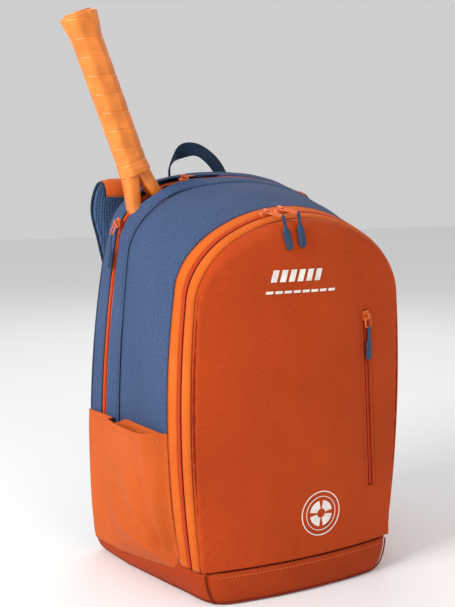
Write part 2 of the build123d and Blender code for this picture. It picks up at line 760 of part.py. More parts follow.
with BuildPart() as butt_cap:
    cap_foot = Location(-lean * (GRIP_LONG - CAP_LONG))
    extrude(octagon(3.0, 9.8).moved(cap_foot), amount=CAP_LONG)
    fillet(butt_cap.faces().sort_by(Axis.Z)[-1].edges(), 2.5)
save(butt_cap.part, "butt_cap")
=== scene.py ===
"""Looks of the racket backpack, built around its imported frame. Metres throughout."""
import math
from collections import namedtuple

import bmesh
import bpy
import numpy as np
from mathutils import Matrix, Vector


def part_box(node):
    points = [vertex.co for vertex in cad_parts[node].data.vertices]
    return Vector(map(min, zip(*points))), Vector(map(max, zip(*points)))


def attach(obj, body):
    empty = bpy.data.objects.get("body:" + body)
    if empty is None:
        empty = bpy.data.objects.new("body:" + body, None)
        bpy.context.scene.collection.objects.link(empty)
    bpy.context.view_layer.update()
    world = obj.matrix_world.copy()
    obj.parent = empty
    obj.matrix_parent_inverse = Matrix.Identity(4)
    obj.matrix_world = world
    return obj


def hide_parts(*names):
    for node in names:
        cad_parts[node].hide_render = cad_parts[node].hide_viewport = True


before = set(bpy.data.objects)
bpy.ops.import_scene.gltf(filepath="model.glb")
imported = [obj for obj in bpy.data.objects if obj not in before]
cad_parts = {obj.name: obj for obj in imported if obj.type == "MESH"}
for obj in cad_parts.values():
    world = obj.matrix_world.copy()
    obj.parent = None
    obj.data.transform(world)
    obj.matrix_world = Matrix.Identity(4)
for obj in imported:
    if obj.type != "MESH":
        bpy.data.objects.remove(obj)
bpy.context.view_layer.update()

# ------------------------------------------------------------------ shape of the shell
# The same outlines as the CAD model: half widths, shoulder height, top arc start, top, rise
Outline = namedtuple("Outline", "base waist shoulder shoulder_z top_start top rise")
FRONT_EDGE, DIVIDER, GUSSET_SEAM, BACK = -0.098, -0.060, 0.050, 0.112
STATIONS = {
    FRONT_EDGE: Outline(0.120, 0.137, 0.132, 0.335, 0.084, 0.424, 0.022),
    DIVIDER: Outline(0.128, 0.149, 0.139, 0.352, 0.088, 0.437, 0.023),
    GUSSET_SEAM: Outline(0.157, 0.160, 0.147, 0.380, 0.074, 0.463, 0.010),
    BACK: Outline(0.166, 0.171, 0.146, 0.408, 0.070, 0.475, 0.007),
}
WAIST = 0.220
FRONT_ZIP, MAIN_ZIP = -0.079, 0.084
FRONT_BULGE, FRONT_REACH = 0.016, 0.138
BOOT_TOP, SKIRT_TOP, POCKET_TOP = 0.038, 0.022, 0.184
PANEL_FLOOR = BOOT_TOP + 0.0022
BACK_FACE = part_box("back_panel")[1].y


def outline_at(depth):
    """The shell's outline between the two stations that a depth lies between."""
    marks = sorted(STATIONS)
    d = min(max(depth, marks[0]), marks[-1])
    for near, far in zip(marks, marks[1:]):
        if near <= d <= far:
            share = (d - near) / (far - near)
            return Outline(*(a + (b - a) * share for a, b in zip(STATIONS[near], STATIONS[far])))


def circle_through(p, q, r):
    """Centre and radius of the circle through three points."""
    (ax, ay), (bx, by), (cx, cy) = p, q, r
    d = 2 * (ax * (by - cy) + bx * (cy - ay) + cx * (ay - by))
    a2, b2, c2 = ax * ax + ay * ay, bx * bx + by * by, cx * cx + cy * cy
    ux = (a2 * (by - cy) + b2 * (cy - ay) + c2 * (ay - by)) / d
    uy = (a2 * (cx - bx) + b2 * (ax - cx) + c2 * (bx - ax)) / d
    return ux, uy, math.hypot(ax - ux, ay - uy)


def tuck(z):
    """How far the cloth draws in where it turns under at the ground."""
    share = min(max(1 - z / 0.034, 0), 1)
    return 0.011 * (1 - math.sqrt(1 - share**2))


def half_width(depth, z):
    """Half width of the shell on its side arc."""
    o = outline_at(depth)
    cx, cz, radius = circle_through((o.base, 0), (o.waist, WAIST), (o.shoulder, o.shoulder_z))
    return cx + math.sqrt(max(radius**2 - (z - cz) ** 2, 0)) - tuck(z)


def half_outline(depth):
    """Right half of the outline as points from the base to the middle of the top."""
    o = outline_at(depth)
    side_z = np.linspace(0, o.shoulder_z, 60)
    side = np.array([(half_width(depth, z), z) for z in side_z])
    top_radius = (o.top_start**2 + o.rise**2) / (2 * o.rise)
    tx = np.linspace(o.top_start, 0, 30)
    top = np.stack([tx, o.top - top_radius + np.sqrt(top_radius**2 - tx**2)], 1)
    a, b = side[-1], top[0]
    ta = (side[-1] - side[-2]) / np.linalg.norm(side[-1] - side[-2])
    tb = (top[1] - top[0]) / np.linalg.norm(top[1] - top[0])
    reach = np.linalg.norm(b - a)
    s = np.linspace(0, 1, 40)[1:-1, None]
    corner = (
        (2 * s**3 - 3 * s**2 + 1) * a + (s**3 - 2 * s**2 + s) * ta * reach
        + (3 * s**2 - 2 * s**3) * b + (s**3 - s**2) * tb * reach
    )
    return np.concatenate([side, corner, top])


def whole_outline(depth, floor, count):
    """The outline from the left floor line over the top to the right one, evenly spaced."""
    half = half_outline(depth)
    keep = half[half[:, 1] > floor]
    half = np.concatenate([[(half_width(depth, floor), floor)], keep])
    left = half * (-1, 1)
    line = np.concatenate([left, half[::-1][1:]])
    return evenly(line, count)


def front_depth(x):
    """How far forward the bowed front lies at a distance from the middle."""
    radius = (FRONT_REACH**2 + FRONT_BULGE**2) / (2 * FRONT_BULGE)
    return FRONT_EDGE - FRONT_BULGE + radius - np.sqrt(radius**2 - np.minimum(np.abs(x), 0.2) ** 2)


def smooth(value, low, high):
    """0 below low, 1 above high, with an S curve between."""
    t = np.clip((value - low) / (high - low), 0, 1)
    return t * t * (3 - 2 * t)


def roll(distance, radius):
    """Drop of a rolled edge: a quarter circle within its radius of the seam."""
    inside = np.clip(1 - distance / radius, 0, 1)
    return -radius * (1 - np.sqrt(1 - inside**2))


def waves(points, seed, size, strength):
    """Soft folds: a few sine waves with seeded directions, of about one size."""
    rng = np.random.default_rng(seed)
    total = np.zeros(points.shape[:-1])
    for _ in range(7):
        direction = rng.normal(size=3)
        direction /= np.linalg.norm(direction)
        phase = rng.uniform(0, 6.28)
        total += np.sin(points @ direction * 6.28 / (size * rng.uniform(0.6, 1.7)) + phase)
    return total * strength / 3


# ------------------------------------------------------------------ mesh helpers
def normals_of(grid):
    """Outward unit normals of a grid whose columns run left to right and rows up or back."""
    across = np.gradient(grid, axis=1)
    along = np.gradient(grid, axis=0)
    normal = np.cross(across, along)
    length = np.linalg.norm(normal, axis=2, keepdims=True)
    return normal / np.maximum(length, 1e-12)


def lay_uv(mesh, coords):
    """Write cloth coordinates, in metres, as the mesh's UV map."""
    layer = mesh.uv_layers.new(name="cloth")
    loop_vertex = np.zeros(len(mesh.loops), int)
    mesh.loops.foreach_get("vertex_index", loop_vertex)
    layer.data.foreach_set("uv", coords[loop_vertex].astype(np.float32).ravel())


def grid_uv(grid):
    """Lengths along the columns and rows of a grid, measured through its middle."""
    step_c = np.linalg.norm(np.diff(grid, axis=1), axis=2)
    step_r = np.linalg.norm(np.diff(grid, axis=0), axis=2)
    u = np.concatenate([np.zeros((grid.shape[0], 1)), np.cumsum(step_c, 1)], 1)
    u -= u[:, [grid.shape[1] // 2]]
    v = np.concatenate([np.zeros((1, grid.shape[1])), np.cumsum(step_r, 0)], 0)
    return np.stack([u, v], 2)


def add_object(name, data):
    """An object that holds the given data, in the scene."""
    obj = bpy.data.objects.new(name, data)
    bpy.context.scene.collection.objects.link(obj)
    return obj


def apply_modifier(obj, name):
    """Make a modifier's result the object's own mesh."""
    bpy.context.view_layer.objects.active = obj
    bpy.context.view_layer.update()
    with bpy.context.temp_override(object=obj, active_object=obj):
        bpy.ops.object.modifier_apply(modifier=name)


def running_length(line):
    """Distance along a line at each of its points, from 0."""
    return np.concatenate([[0], np.cumsum(np.linalg.norm(np.diff(line, axis=0), axis=1))])


def evenly(line, count, ends=True):
    """Points spaced evenly along a line."""
    run = running_length(line)
    at = np.linspace(0, run[-1], count, endpoint=ends)
    return np.stack([np.interp(at, run, line[:, k]) for k in range(line.shape[1])], 1)


def ring_faces(index):
    """Four-sided faces between neighbouring closed rings of vertex numbers."""
    nxt = np.roll(index, -1, 1)
    return np.stack([index[:-1], nxt[:-1], nxt[1:], index[1:]], -1).reshape(-1, 4).tolist()


def finish_mesh(name, vertices, faces, material, body, coords=None):
    """Make one object, smooth it, paint it and let it ride on its body."""
    mesh = bpy.data.meshes.new(name)
    mesh.from_pydata([tuple(v) for v in vertices], [], faces)
    mesh.validate()
    if coords is not None:
        lay_uv(mesh, coords)
    mesh.polygons.foreach_set("use_smooth", [True] * len(mesh.polygons))
    mesh.materials.append(material)
    obj = add_object(name, mesh)
    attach(obj, body)
    return obj


def cloth_piece(name, grid, thickness, material, body, lining=None):
    """A closed sheet of cloth: the grid is its outer face, and its edges are closed."""
    rows, cols = grid.shape[:2]
    inner = grid - normals_of(grid) * thickness
    vertices = np.concatenate([grid.reshape(-1, 3), inner.reshape(-1, 3)])
    index = np.arange(rows * cols).reshape(rows, cols)
    far = index + rows * cols
    a, b, c, d = index[:-1, :-1], index[:-1, 1:], index[1:, 1:], index[1:, :-1]
    outer_faces = np.stack([a, b, c, d], -1).reshape(-1, 4)
    fa, fb, fc, fd = far[:-1, :-1], far[:-1, 1:], far[1:, 1:], far[1:, :-1]
    inner_faces = np.stack([fd, fc, fb, fa], -1).reshape(-1, 4)
    faces = outer_faces.tolist() + inner_faces.tolist()
    rim = np.concatenate([index[0, :], index[1:, -1], index[-1, -2::-1], index[-2:0:-1, 0]])
    rim_far = rim + rows * cols
    following = np.roll(rim, -1)
    faces += np.stack([rim, rim_far, np.roll(rim_far, -1), following], -1).tolist()
    uv = grid_uv(grid).reshape(-1, 2)
    obj = finish_mesh(name, vertices, faces, material, body, np.concatenate([uv, uv]))
    if lining is not None:
        obj.data.materials.append(lining)
        slots = [0] * len(outer_faces) + [1] * len(inner_faces)
        for polygon, value in zip(obj.data.polygons, slots):
            polygon.material_index = value
    return obj


def tube(name, path, sections, material, body, slot, closed=False, up=(0, 0, 1)):
    """Sweep cross-sections along a path; each section is a list of (side, up) offsets."""
    path = np.asarray(path, float)
    count = len(path)
    if closed:
        tangent = np.roll(path, -1, 0) - np.roll(path, 1, 0)
    else:
        tangent = np.gradient(path, axis=0)
    tangent /= np.linalg.norm(tangent, axis=1, keepdims=True)
    ups = np.broadcast_to(np.asarray(up, float), path.shape)
    side = np.cross(tangent, ups)
    side /= np.linalg.norm(side, axis=1, keepdims=True)
    lift = np.cross(side, tangent)
    sections = np.asarray(sections, float)
    if sections.ndim == 2:
        sections = np.broadcast_to(sections, (count,) + sections.shape)
    rings = path[:, None] + side[:, None] * sections[:, :, :1] + lift[:, None] * sections[:, :, 1:]
    around = rings.shape[1]
    index = np.arange(count * around).reshape(count, around)
    if closed:
        index = np.concatenate([index, index[:1]])
    faces = ring_faces(index)
    if not closed:
        faces.append(index[0, ::-1].tolist())
        faces.append(index[-1].tolist())
    girth = np.linspace(0, 1, around, endpoint=False)[None] * np.ones((count, 1))
    run = running_length(path)
    width = np.ptp(sections[:, :, 0], axis=1).max() * 2
    uv = np.stack([girth * width, run[:, None] * np.ones((1, around))], 2).reshape(-1, 2)
    return finish_mesh(name, rings.reshape(-1, 3), faces, material, body, uv)


def oval(wide, high, count=12, power=1.0):
    """A closed section: an ellipse, squarer as power falls below 1."""
    angle = np.linspace(0, 2 * math.pi, count, endpoint=False)
    c, s = np.cos(angle), np.sin(angle)
    return np.stack([np.sign(c) * np.abs(c) ** power * wide, np.sign(s) * np.abs(s) ** power * high], 1)


def curve_through(points, count):
    """A smooth line through given points (Catmull-Rom), evenly sampled."""
    p = np.asarray(points, float)
    p = np.concatenate([[2 * p[0] - p[1]], p, [2 * p[-1] - p[-2]]])
    out = []
    for i in range(1, len(p) - 2):
        t = np.linspace(0, 1, 24, endpoint=False)[:, None]
        a, b, c, d = p[i - 1], p[i], p[i + 1], p[i + 2]
        bend = (2 * a - 5 * b + 4 * c - d) * t**2 + (3 * b - a - 3 * c + d) * t**3
        out.append(0.5 * (2 * b + (c - a) * t + bend))
    return evenly(np.concatenate(out + [p[-2:-1]]), count)


# ------------------------------------------------------------------ materials
THREAD_WAVES = 0.314  # a wave texture's scale times the spacing of its bands
SLUB_SCALE = (1 / 0.0011, 1 / 0.0038, 1 / 0.0011)
RAMP_ENDS = (0.32, 0.68)


def set_inputs(node, values):
    """Set a node's own input values."""
    for socket, value in dict(values).items():
        node.inputs[socket].default_value = value


def new_material(name):
    """A material with nodes, and its shader."""
    material = bpy.data.materials.new(name)
    material.use_nodes = True
    return material, material.node_tree.nodes["Principled BSDF"]


def add_node(material, kind, values=(), feeds=(), **options):
    """Add a shader node, set its options and inputs, and link what feeds it."""
    tree = material.node_tree
    node = tree.nodes.new(f"ShaderNode{kind}")
    for option, value in options.items():
        setattr(node, option, value)
    set_inputs(node, values)
    for socket, source in dict(feeds).items():
        tree.links.new(source, node.inputs[socket])
    return node


def link(material, source, shader, socket):
    """Link an output to one of the shader's inputs."""
    material.node_tree.links.new(source, shader.inputs[socket])


def ramp(material, source, low, high):
    """A colour ramp between two colours, driven by a value."""
    node = add_node(material, "ValToRGB", feeds={"Fac": source})
    for element, color, place in zip(node.color_ramp.elements, (low, high), RAMP_ENDS):
        element.color = (*color, 1)
        element.position = place
    return node.outputs["Color"]


def cloth(
    name, dark, light, pitch=0.0011, heather=0.5, bump=0.35, rough=0.88, sheen=0.03, source="UV", twill=0.0,
):
    """Woven cloth: two thread directions, slubs along the warp, and worn, uneven colour."""
    material, shader = new_material(name)
    coords = add_node(material, "TexCoord").outputs[source]
    turn = add_node(material, "Mapping", {"Rotation": (0, 0, twill)}, {"Vector": coords})
    threads = []
    for direction in ("X", "Y"):
        wave = add_node(
            material, "TexWave", {"Scale": THREAD_WAVES / pitch, "Distortion": 0.6, "Detail": 1.0},
            {"Vector": turn.outputs["Vector"]}, bands_direction=direction,
        )
        threads.append(wave.outputs["Fac"])
    weave = add_node(material, "Math", feeds={0: threads[0], 1: threads[1]}, operation="MULTIPLY")
    stretch = add_node(material, "Mapping", {"Scale": SLUB_SCALE}, {"Vector": coords})
    drawn_out = stretch.outputs["Vector"]
    slub = add_node(material, "TexNoise", {"Scale": 1.0, "Detail": 3.0}, {"Vector": drawn_out})
    patch = add_node(material, "TexNoise", {"Scale": 9.0, "Detail": 4.0}, {"Vector": coords})
    blotches = patch.outputs["Fac"]
    mixed = add_node(material, "Mix", {"Factor": heather}, {"A": blotches, "B": slub.outputs["Fac"]})
    link(material, ramp(material, mixed.outputs["Result"], dark, light), shader, "Base Color")
    relief = add_node(
        material, "Bump", {"Strength": bump, "Distance": 0.0006}, {"Height": weave.outputs["Value"]},
    )
    soft = add_node(
        material, "Bump", {"Strength": 0.25, "Distance": 0.004},
        {"Height": blotches, "Normal": relief.outputs["Normal"]},
    )
    link(material, soft.outputs["Normal"], shader, "Normal")
    set_inputs(shader, {
        "Roughness": rough, "Sheen Weight": sheen, "Sheen Roughness": 0.5, "Specular IOR Level": 0.12,
    })
    return material


def solid(name, color, rough=0.45, metal=0.0, grain=0.2, scale=900.0, coat=0.0):
    """Moulded plastic, rubber or painted metal: fine grain, uneven colour and uneven gloss."""
    material, shader = new_material(name)
    coords = add_node(material, "TexCoord").outputs["Object"]
    fine = add_node(material, "TexNoise", {"Scale": scale, "Detail": 3.0}, {"Vector": coords})
    broad = add_node(material, "TexNoise", {"Scale": 60.0}, {"Vector": coords}).outputs["Fac"]
    darker = tuple(c * 0.8 for c in color)
    lighter = tuple(min(c * 1.12 + 0.004, 1) for c in color)
    link(material, ramp(material, broad, darker, lighter), shader, "Base Color")
    spread = {"To Min": max(rough - 0.1, 0.05), "To Max": min(rough + 0.12, 1)}
    gloss = add_node(material, "MapRange", spread, {"Value": broad})
    link(material, gloss.outputs["Result"], shader, "Roughness")
    relief = add_node(
        material, "Bump", {"Strength": grain, "Distance": 0.0002}, {"Height": fine.outputs["Fac"]},
    )
    link(material, relief.outputs["Normal"], shader, "Normal")
    set_inputs(shader, {"Metallic": metal, "Coat Weight": coat})
    return material


def mesh_cloth(name, dark, light, pitch=0.0034):
    """Spacer mesh: a knitted face with rows of small holes."""
    material, shader = new_material(name)
    coords = add_node(material, "TexCoord").outputs["UV"]
    cells = {"Scale": 1 / pitch, "Randomness": 0.15}
    holes = add_node(material, "TexVoronoi", cells, {"Vector": coords}).outputs["Distance"]
    link(material, ramp(material, holes, dark, light), shader, "Base Color")
    relief = add_node(material, "Bump", {"Strength": 0.8, "Distance": 0.0012}, {"Height": holes})
    link(material, relief.outputs["Normal"], shader, "Normal")
    set_inputs(shader, {"Roughness": 0.8, "Sheen Weight": 0.3})
    return material


BLUE = cloth("heather_blue", (0.026, 0.049, 0.116), (0.070, 0.110, 0.220), pitch=0.0012, heather=0.8)
ORANGE = cloth("burnt_orange", (0.37, 0.042, 0.006), (0.54, 0.066, 0.010), pitch=0.0010, heather=0.6)
POCKET = cloth(
    "pocket_orange", (0.46, 0.078, 0.012), (0.64, 0.120, 0.020), pitch=0.0009, heather=0.5, rough=0.7,
)
BOOT = cloth("boot_orange", (0.30, 0.032, 0.005), (0.46, 0.055, 0.008), pitch=0.0016, bump=0.6, twill=0.78)
TAPE = cloth("tape_orange", (0.54, 0.092, 0.010), (0.72, 0.150, 0.018), pitch=0.0014, heather=0.3, bump=0.5)
COIL = cloth("coil_red", (0.44, 0.034, 0.010), (0.60, 0.062, 0.016), pitch=0.0008, rough=0.4, sheen=0.0)
WEBBING = cloth(
    "navy_webbing", (0.006, 0.016, 0.035), (0.020, 0.050, 0.090), pitch=0.0018, bump=0.8, rough=0.6,
)
# Dark navy: painted shade, laid as thin strips where shadow lines fall along the seams
SEAM_SHADOW = cloth("seam_shadow", (0.012, 0.018, 0.035), (0.030, 0.042, 0.075), pitch=0.0010)
# Dark rust: the colour of the seams and piping round the boot, and also painted shade in the joint at the
# front panel's edge
SEAM_RED_AND_SHADE = cloth("seam_rust", (0.16, 0.014, 0.004), (0.24, 0.024, 0.006), pitch=0.0010)
LINING = cloth("lining", (0.030, 0.034, 0.045), (0.060, 0.066, 0.080), pitch=0.0009, source="Object")
BACK_CLOTH = cloth(
    "back_cloth", (0.010, 0.020, 0.050), (0.022, 0.042, 0.090), pitch=0.0012, source="Object",
)
BASE_CLOTH = cloth("base_cloth", (0.40, 0.048, 0.010), (0.50, 0.066, 0.014), pitch=0.0016, source="Object")
SPACER = mesh_cloth("spacer_mesh", (0.050, 0.120, 0.270), (0.004, 0.010, 0.030))
ZIP_METAL = solid("slider_orange", (0.70, 0.125, 0.016), rough=0.38, metal=0.1, coat=0.1)
GRIP = solid("grip_navy", (0.008, 0.040, 0.105), rough=0.45, grain=0.3)
BUCKLE = solid("buckle_navy", (0.012, 0.020, 0.040), rough=0.45, grain=0.4)
PRINT = solid("print_cream", (0.86, 0.80, 0.74), rough=0.7, grain=0.5)
RACKET = solid("racket_orange", (0.80, 0.195, 0.012), rough=0.3, coat=0.3, grain=0.05)
OVERGRIP = solid("overgrip_orange", (0.82, 0.215, 0.018), rough=0.38, grain=0.35, scale=1500.0)
STRING = solid("string_natural", (0.80, 0.72, 0.50), rough=0.35)
THREAD = solid("thread_orange", (0.70, 0.16, 0.035), rough=0.8, grain=0.6)
RUST_THREAD = solid("thread_rust", (0.34, 0.036, 0.007), rough=0.8, grain=0.6)
BLUE_THREAD = solid("thread_blue", (0.085, 0.125, 0.230), rough=0.8, grain=0.6)


def paint(material, *nodes):
    """Give CAD nodes that keep their shape a finished material."""
    for node in nodes:
        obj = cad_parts[node]
        obj.data.materials.clear()
        obj.data.materials.append(material)


paint(LINING, "divider_panel", "frame_sheet", "pocket_bag")
paint(BACK_CLOTH, "back_panel", "strap_yoke")
paint(ZIP_METAL, "front_slider_left", "front_slider_right", "pocket_slider")
paint(ZIP_METAL, "main_slider_side", "main_slider_top")
paint(BUCKLE, "ladder_lock_left", "ladder_lock_right")
paint(WEBBING, "webbing_tab_left", "webbing_tab_right")
paint(STRING, "racket_strings")
paint(RACKET, "handle_pallet", "racket_bumper")


# ------------------------------------------------------------------ shell strips
def shell_grid(depths, floor, columns):
    """Points of the shell over a run of depths, from the left floor line to the right."""
    rows = []
    for depth in depths:
        line = whole_outline(depth, floor, columns)
        rows.append(np.stack([line[:, 0], np.full(columns, depth), line[:, 1]], 1))
    return np.array(rows)


def strip_depths(front, back, count):
    """Depths across a strip, closer together near its two edges."""
    t = np.linspace(0, 1, count)
    eased = t - 0.12 * np.sin(2 * math.pi * t)
    return front + (back - front) * np.sort(np.clip(eased, 0, 1))


def edge_rolls(depths, front, back, radius):
    """Rolled edges at a strip's two seams, for each depth."""
    return roll(depths - front, radius) + roll(back - depths, radius)


# Where the main zip is open round the racket, as a share of the outline from side to top
MOUTH_LOW, MOUTH_HIGH = 0.382, 0.470


def mouth_shape(columns):
    """0 where the zip is closed, 1 at the middle of its open stretch."""
    t = np.linspace(0, 1, columns)
    inside = np.clip((t - MOUTH_LOW) / (MOUTH_HIGH - MOUTH_LOW), 0, 1)
    return np.sin(math.pi * inside) ** 0.8


COLUMNS = 420


def body_cloth():
    """Blue side and top panels in one length, from the front compartment to the seam."""
    depths = strip_depths(DIVIDER + 0.0006, GUSSET_SEAM - 0.0006, 46)
    grid = shell_grid(depths, 0.020, COLUMNS)
    normal = normals_of(grid)
    lift = edge_rolls(depths, DIVIDER, GUSSET_SEAM, 0.003)[:, None] * np.ones((1, COLUMNS))
    middle = np.sin(math.pi * (depths - DIVIDER) / (GUSSET_SEAM - DIVIDER))[:, None]
    lift += 0.0022 * middle
    lift += waves(grid, 3, 0.11, 0.0009) * middle
    lift += waves(grid * (1, 1, 0.35), 8, 0.035, 0.00045) * middle
    lift = lift * smooth(grid[..., 2], 0.030, 0.060) - 0.0008 * (1 - smooth(grid[..., 2], 0.030, 0.060))
    grid = grid + normal * lift[..., None]
    piece = cloth_piece("body_cloth", grid, 0.0016, BLUE, "bag", LINING)
    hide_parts("side_panel_left", "side_panel_right", "top_panel")


def gusset_cloth(name, front, back, pull_front, pull_back, nodes):
    """A blue strip beside the main zip, pushed aside where the racket comes out."""
    depths = strip_depths(front, back, 18)
    grid = shell_grid(depths, 0.020, COLUMNS)
    normal = normals_of(grid)
    lift = edge_rolls(depths, front - 0.0004, back + 0.0004, 0.0028)[:, None] * np.ones((1, COLUMNS))
    lift += 0.0010 + waves(grid * (1, 1, 0.5), 5, 0.05, 0.0004)
    lift = lift * smooth(grid[..., 2], 0.026, 0.050) - 0.0008 * (1 - smooth(grid[..., 2], 0.026, 0.050))
    share = ((depths - front) / (back - front))[:, None]
    mouth = mouth_shape(COLUMNS)[None]
    shift = (pull_front * (1 - share) + pull_back * share) * mouth
    lift += 0.004 * mouth * np.where(abs(pull_back) > abs(pull_front), share, 1 - share)
    grid = grid + normal * lift[..., None]
    grid[..., 1] += shift
    piece = cloth_piece(name, grid, 0.0016, BLUE, "bag", LINING)
    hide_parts(*nodes)


def flat_strip(
    name, front, back, floor, lift, material, body, nodes=(), bulge=0.0, pull_front=0.0, pull_back=0.0,
):
    """A tape, or a strip of painted shade along a seam, that follows the shell, with an optional crown."""
    depths = np.linspace(front, back, 9)
    grid = shell_grid(depths, floor, COLUMNS)
    normal = normals_of(grid)
    share = ((depths - front) / (back - front))[:, None]
    height = lift + bulge * np.sqrt(np.clip(1 - (2 * share - 1) ** 2, 0, 1))
    grid = grid + normal * (height * np.ones((1, COLUMNS)))[..., None]
    grid[..., 1] += (pull_front * (1 - share) + pull_back * share) * mouth_shape(COLUMNS)[None]
    piece = cloth_piece(name, grid, 0.0011, material, body)
    if nodes:
        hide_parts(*nodes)


def coil_strip(name, middle, half, floor, lift, body, nodes, open_mouth=False):
    """The zip's coil: a narrow ridge with one small swell for each turn."""
    columns = 1300
    depths = np.linspace(middle - half, middle + half, 6)
    grid = shell_grid(depths, floor, columns)
    normal = normals_of(grid)
    share = ((depths - middle) / half)[:, None]
    length = np.cumsum(np.linalg.norm(np.diff(grid[3], axis=0, prepend=grid[3][:1]), axis=1))
    teeth = np.abs(np.sin(length * math.pi / 0.0028))[None]
    height = lift + np.sqrt(np.clip(1 - share**2, 0, 1)) * (0.0004 + 0.0015 * teeth)
    grid = grid + normal * height[..., None]
    if open_mouth:
        t = np.linspace(0, 1, columns)
        spans = [t <= MOUTH_LOW + 0.004, t >= MOUTH_HIGH - 0.004]
    else:
        spans = [np.ones(columns, bool)]
    for number, span in enumerate(spans):
        label = f"{name}_{number}" if open_mouth else name
        piece = cloth_piece(label, grid[:, span], 0.0009, COIL, body)
        if number == 0 and nodes:
            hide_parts(*nodes)


body_cloth()
gusset_cloth("gusset_front_cloth", GUSSET_SEAM + 0.0006, 0.0785, 0.0, -0.021, ["main_gusset_front"])
gusset_cloth("gusset_rear_cloth", 0.0895, BACK, 0.010, 0.0, ["main_gusset_rear"])
flat_strip(
    "main_tape_front", 0.0755, 0.0832, 0.024, -0.0016, TAPE, "bag", ["main_zip_tape_front"],
    pull_front=-0.0195, pull_back=-0.0210,
)
flat_strip(
    "main_tape_rear", 0.0848, 0.0925, 0.024, -0.0016, TAPE, "bag", ["main_zip_tape_rear"],
    pull_front=0.0110, pull_back=0.0095,
)
coil_strip("main_coil", MAIN_ZIP, 0.0021, 0.184, -0.0012, "bag", ["main_zip_coil"], open_mouth=True)
# Thin dark navy strips of painted shade along the gusset seam and the front divider seam
for name, depth, half, floor, lift in (
    ("gusset_seam_shade", GUSSET_SEAM, 0.0012, 0.024, -0.0024),
    ("front_divider_shade", DIVIDER, 0.0010, 0.036, -0.0020),
):
    flat_strip(name, depth - half, depth + half, floor, lift, SEAM_SHADOW, "bag")

flat_strip(
    "front_tape_rear", FRONT_ZIP + 0.0030, DIVIDER - 0.0008, BOOT_TOP + 0.0006, -0.0006, TAPE, "bag",
    ["front_zip_tape_rear"], bulge=0.0014,
)
coil_strip("front_coil", FRONT_ZIP, 0.0026, BOOT_TOP + 0.002, 0.0, "bag", ["front_zip_coil_rear"])
flat_strip(
    "front_tape_front", FRONT_EDGE + 0.0022, FRONT_ZIP - 0.0032, PANEL_FLOOR, -0.0006, TAPE,
    "front_flap", ["front_zip_tape_front", "front_zip_coil_front"], bulge=0.0024,
)
# Dark rust strip sunk in the joint between the front tape and the front panel: painted shade for the shadow
# line there
flat_strip(
    "front_edge_shade", FRONT_EDGE - 0.0006, FRONT_EDGE + 0.0020, PANEL_FLOOR, -0.0022, SEAM_RED_AND_SHADE,
    "front_flap",
)


# ------------------------------------------------------------------ front panel
def closed_front_outline(count):
    """The front panel's edge as a closed loop, starting at its lower left corner."""
    arch = whole_outline(FRONT_EDGE, PANEL_FLOOR, count)
    sill_x = np.linspace(arch[-1, 0], arch[0, 0], count // 4)[1:-1]
    sill = np.stack([sill_x, np.full(len(sill_x), PANEL_FLOOR)], 1)
    return np.concatenate([arch, sill])


# How far the panel's cloth stands in front of the bowed skin: at the pocket zip, and more elsewhere
ZIP_STAND, CROWN = 0.0008, 0.0020
PANEL_THICK, ZIP_HOLLOW = 0.0022, 0.016


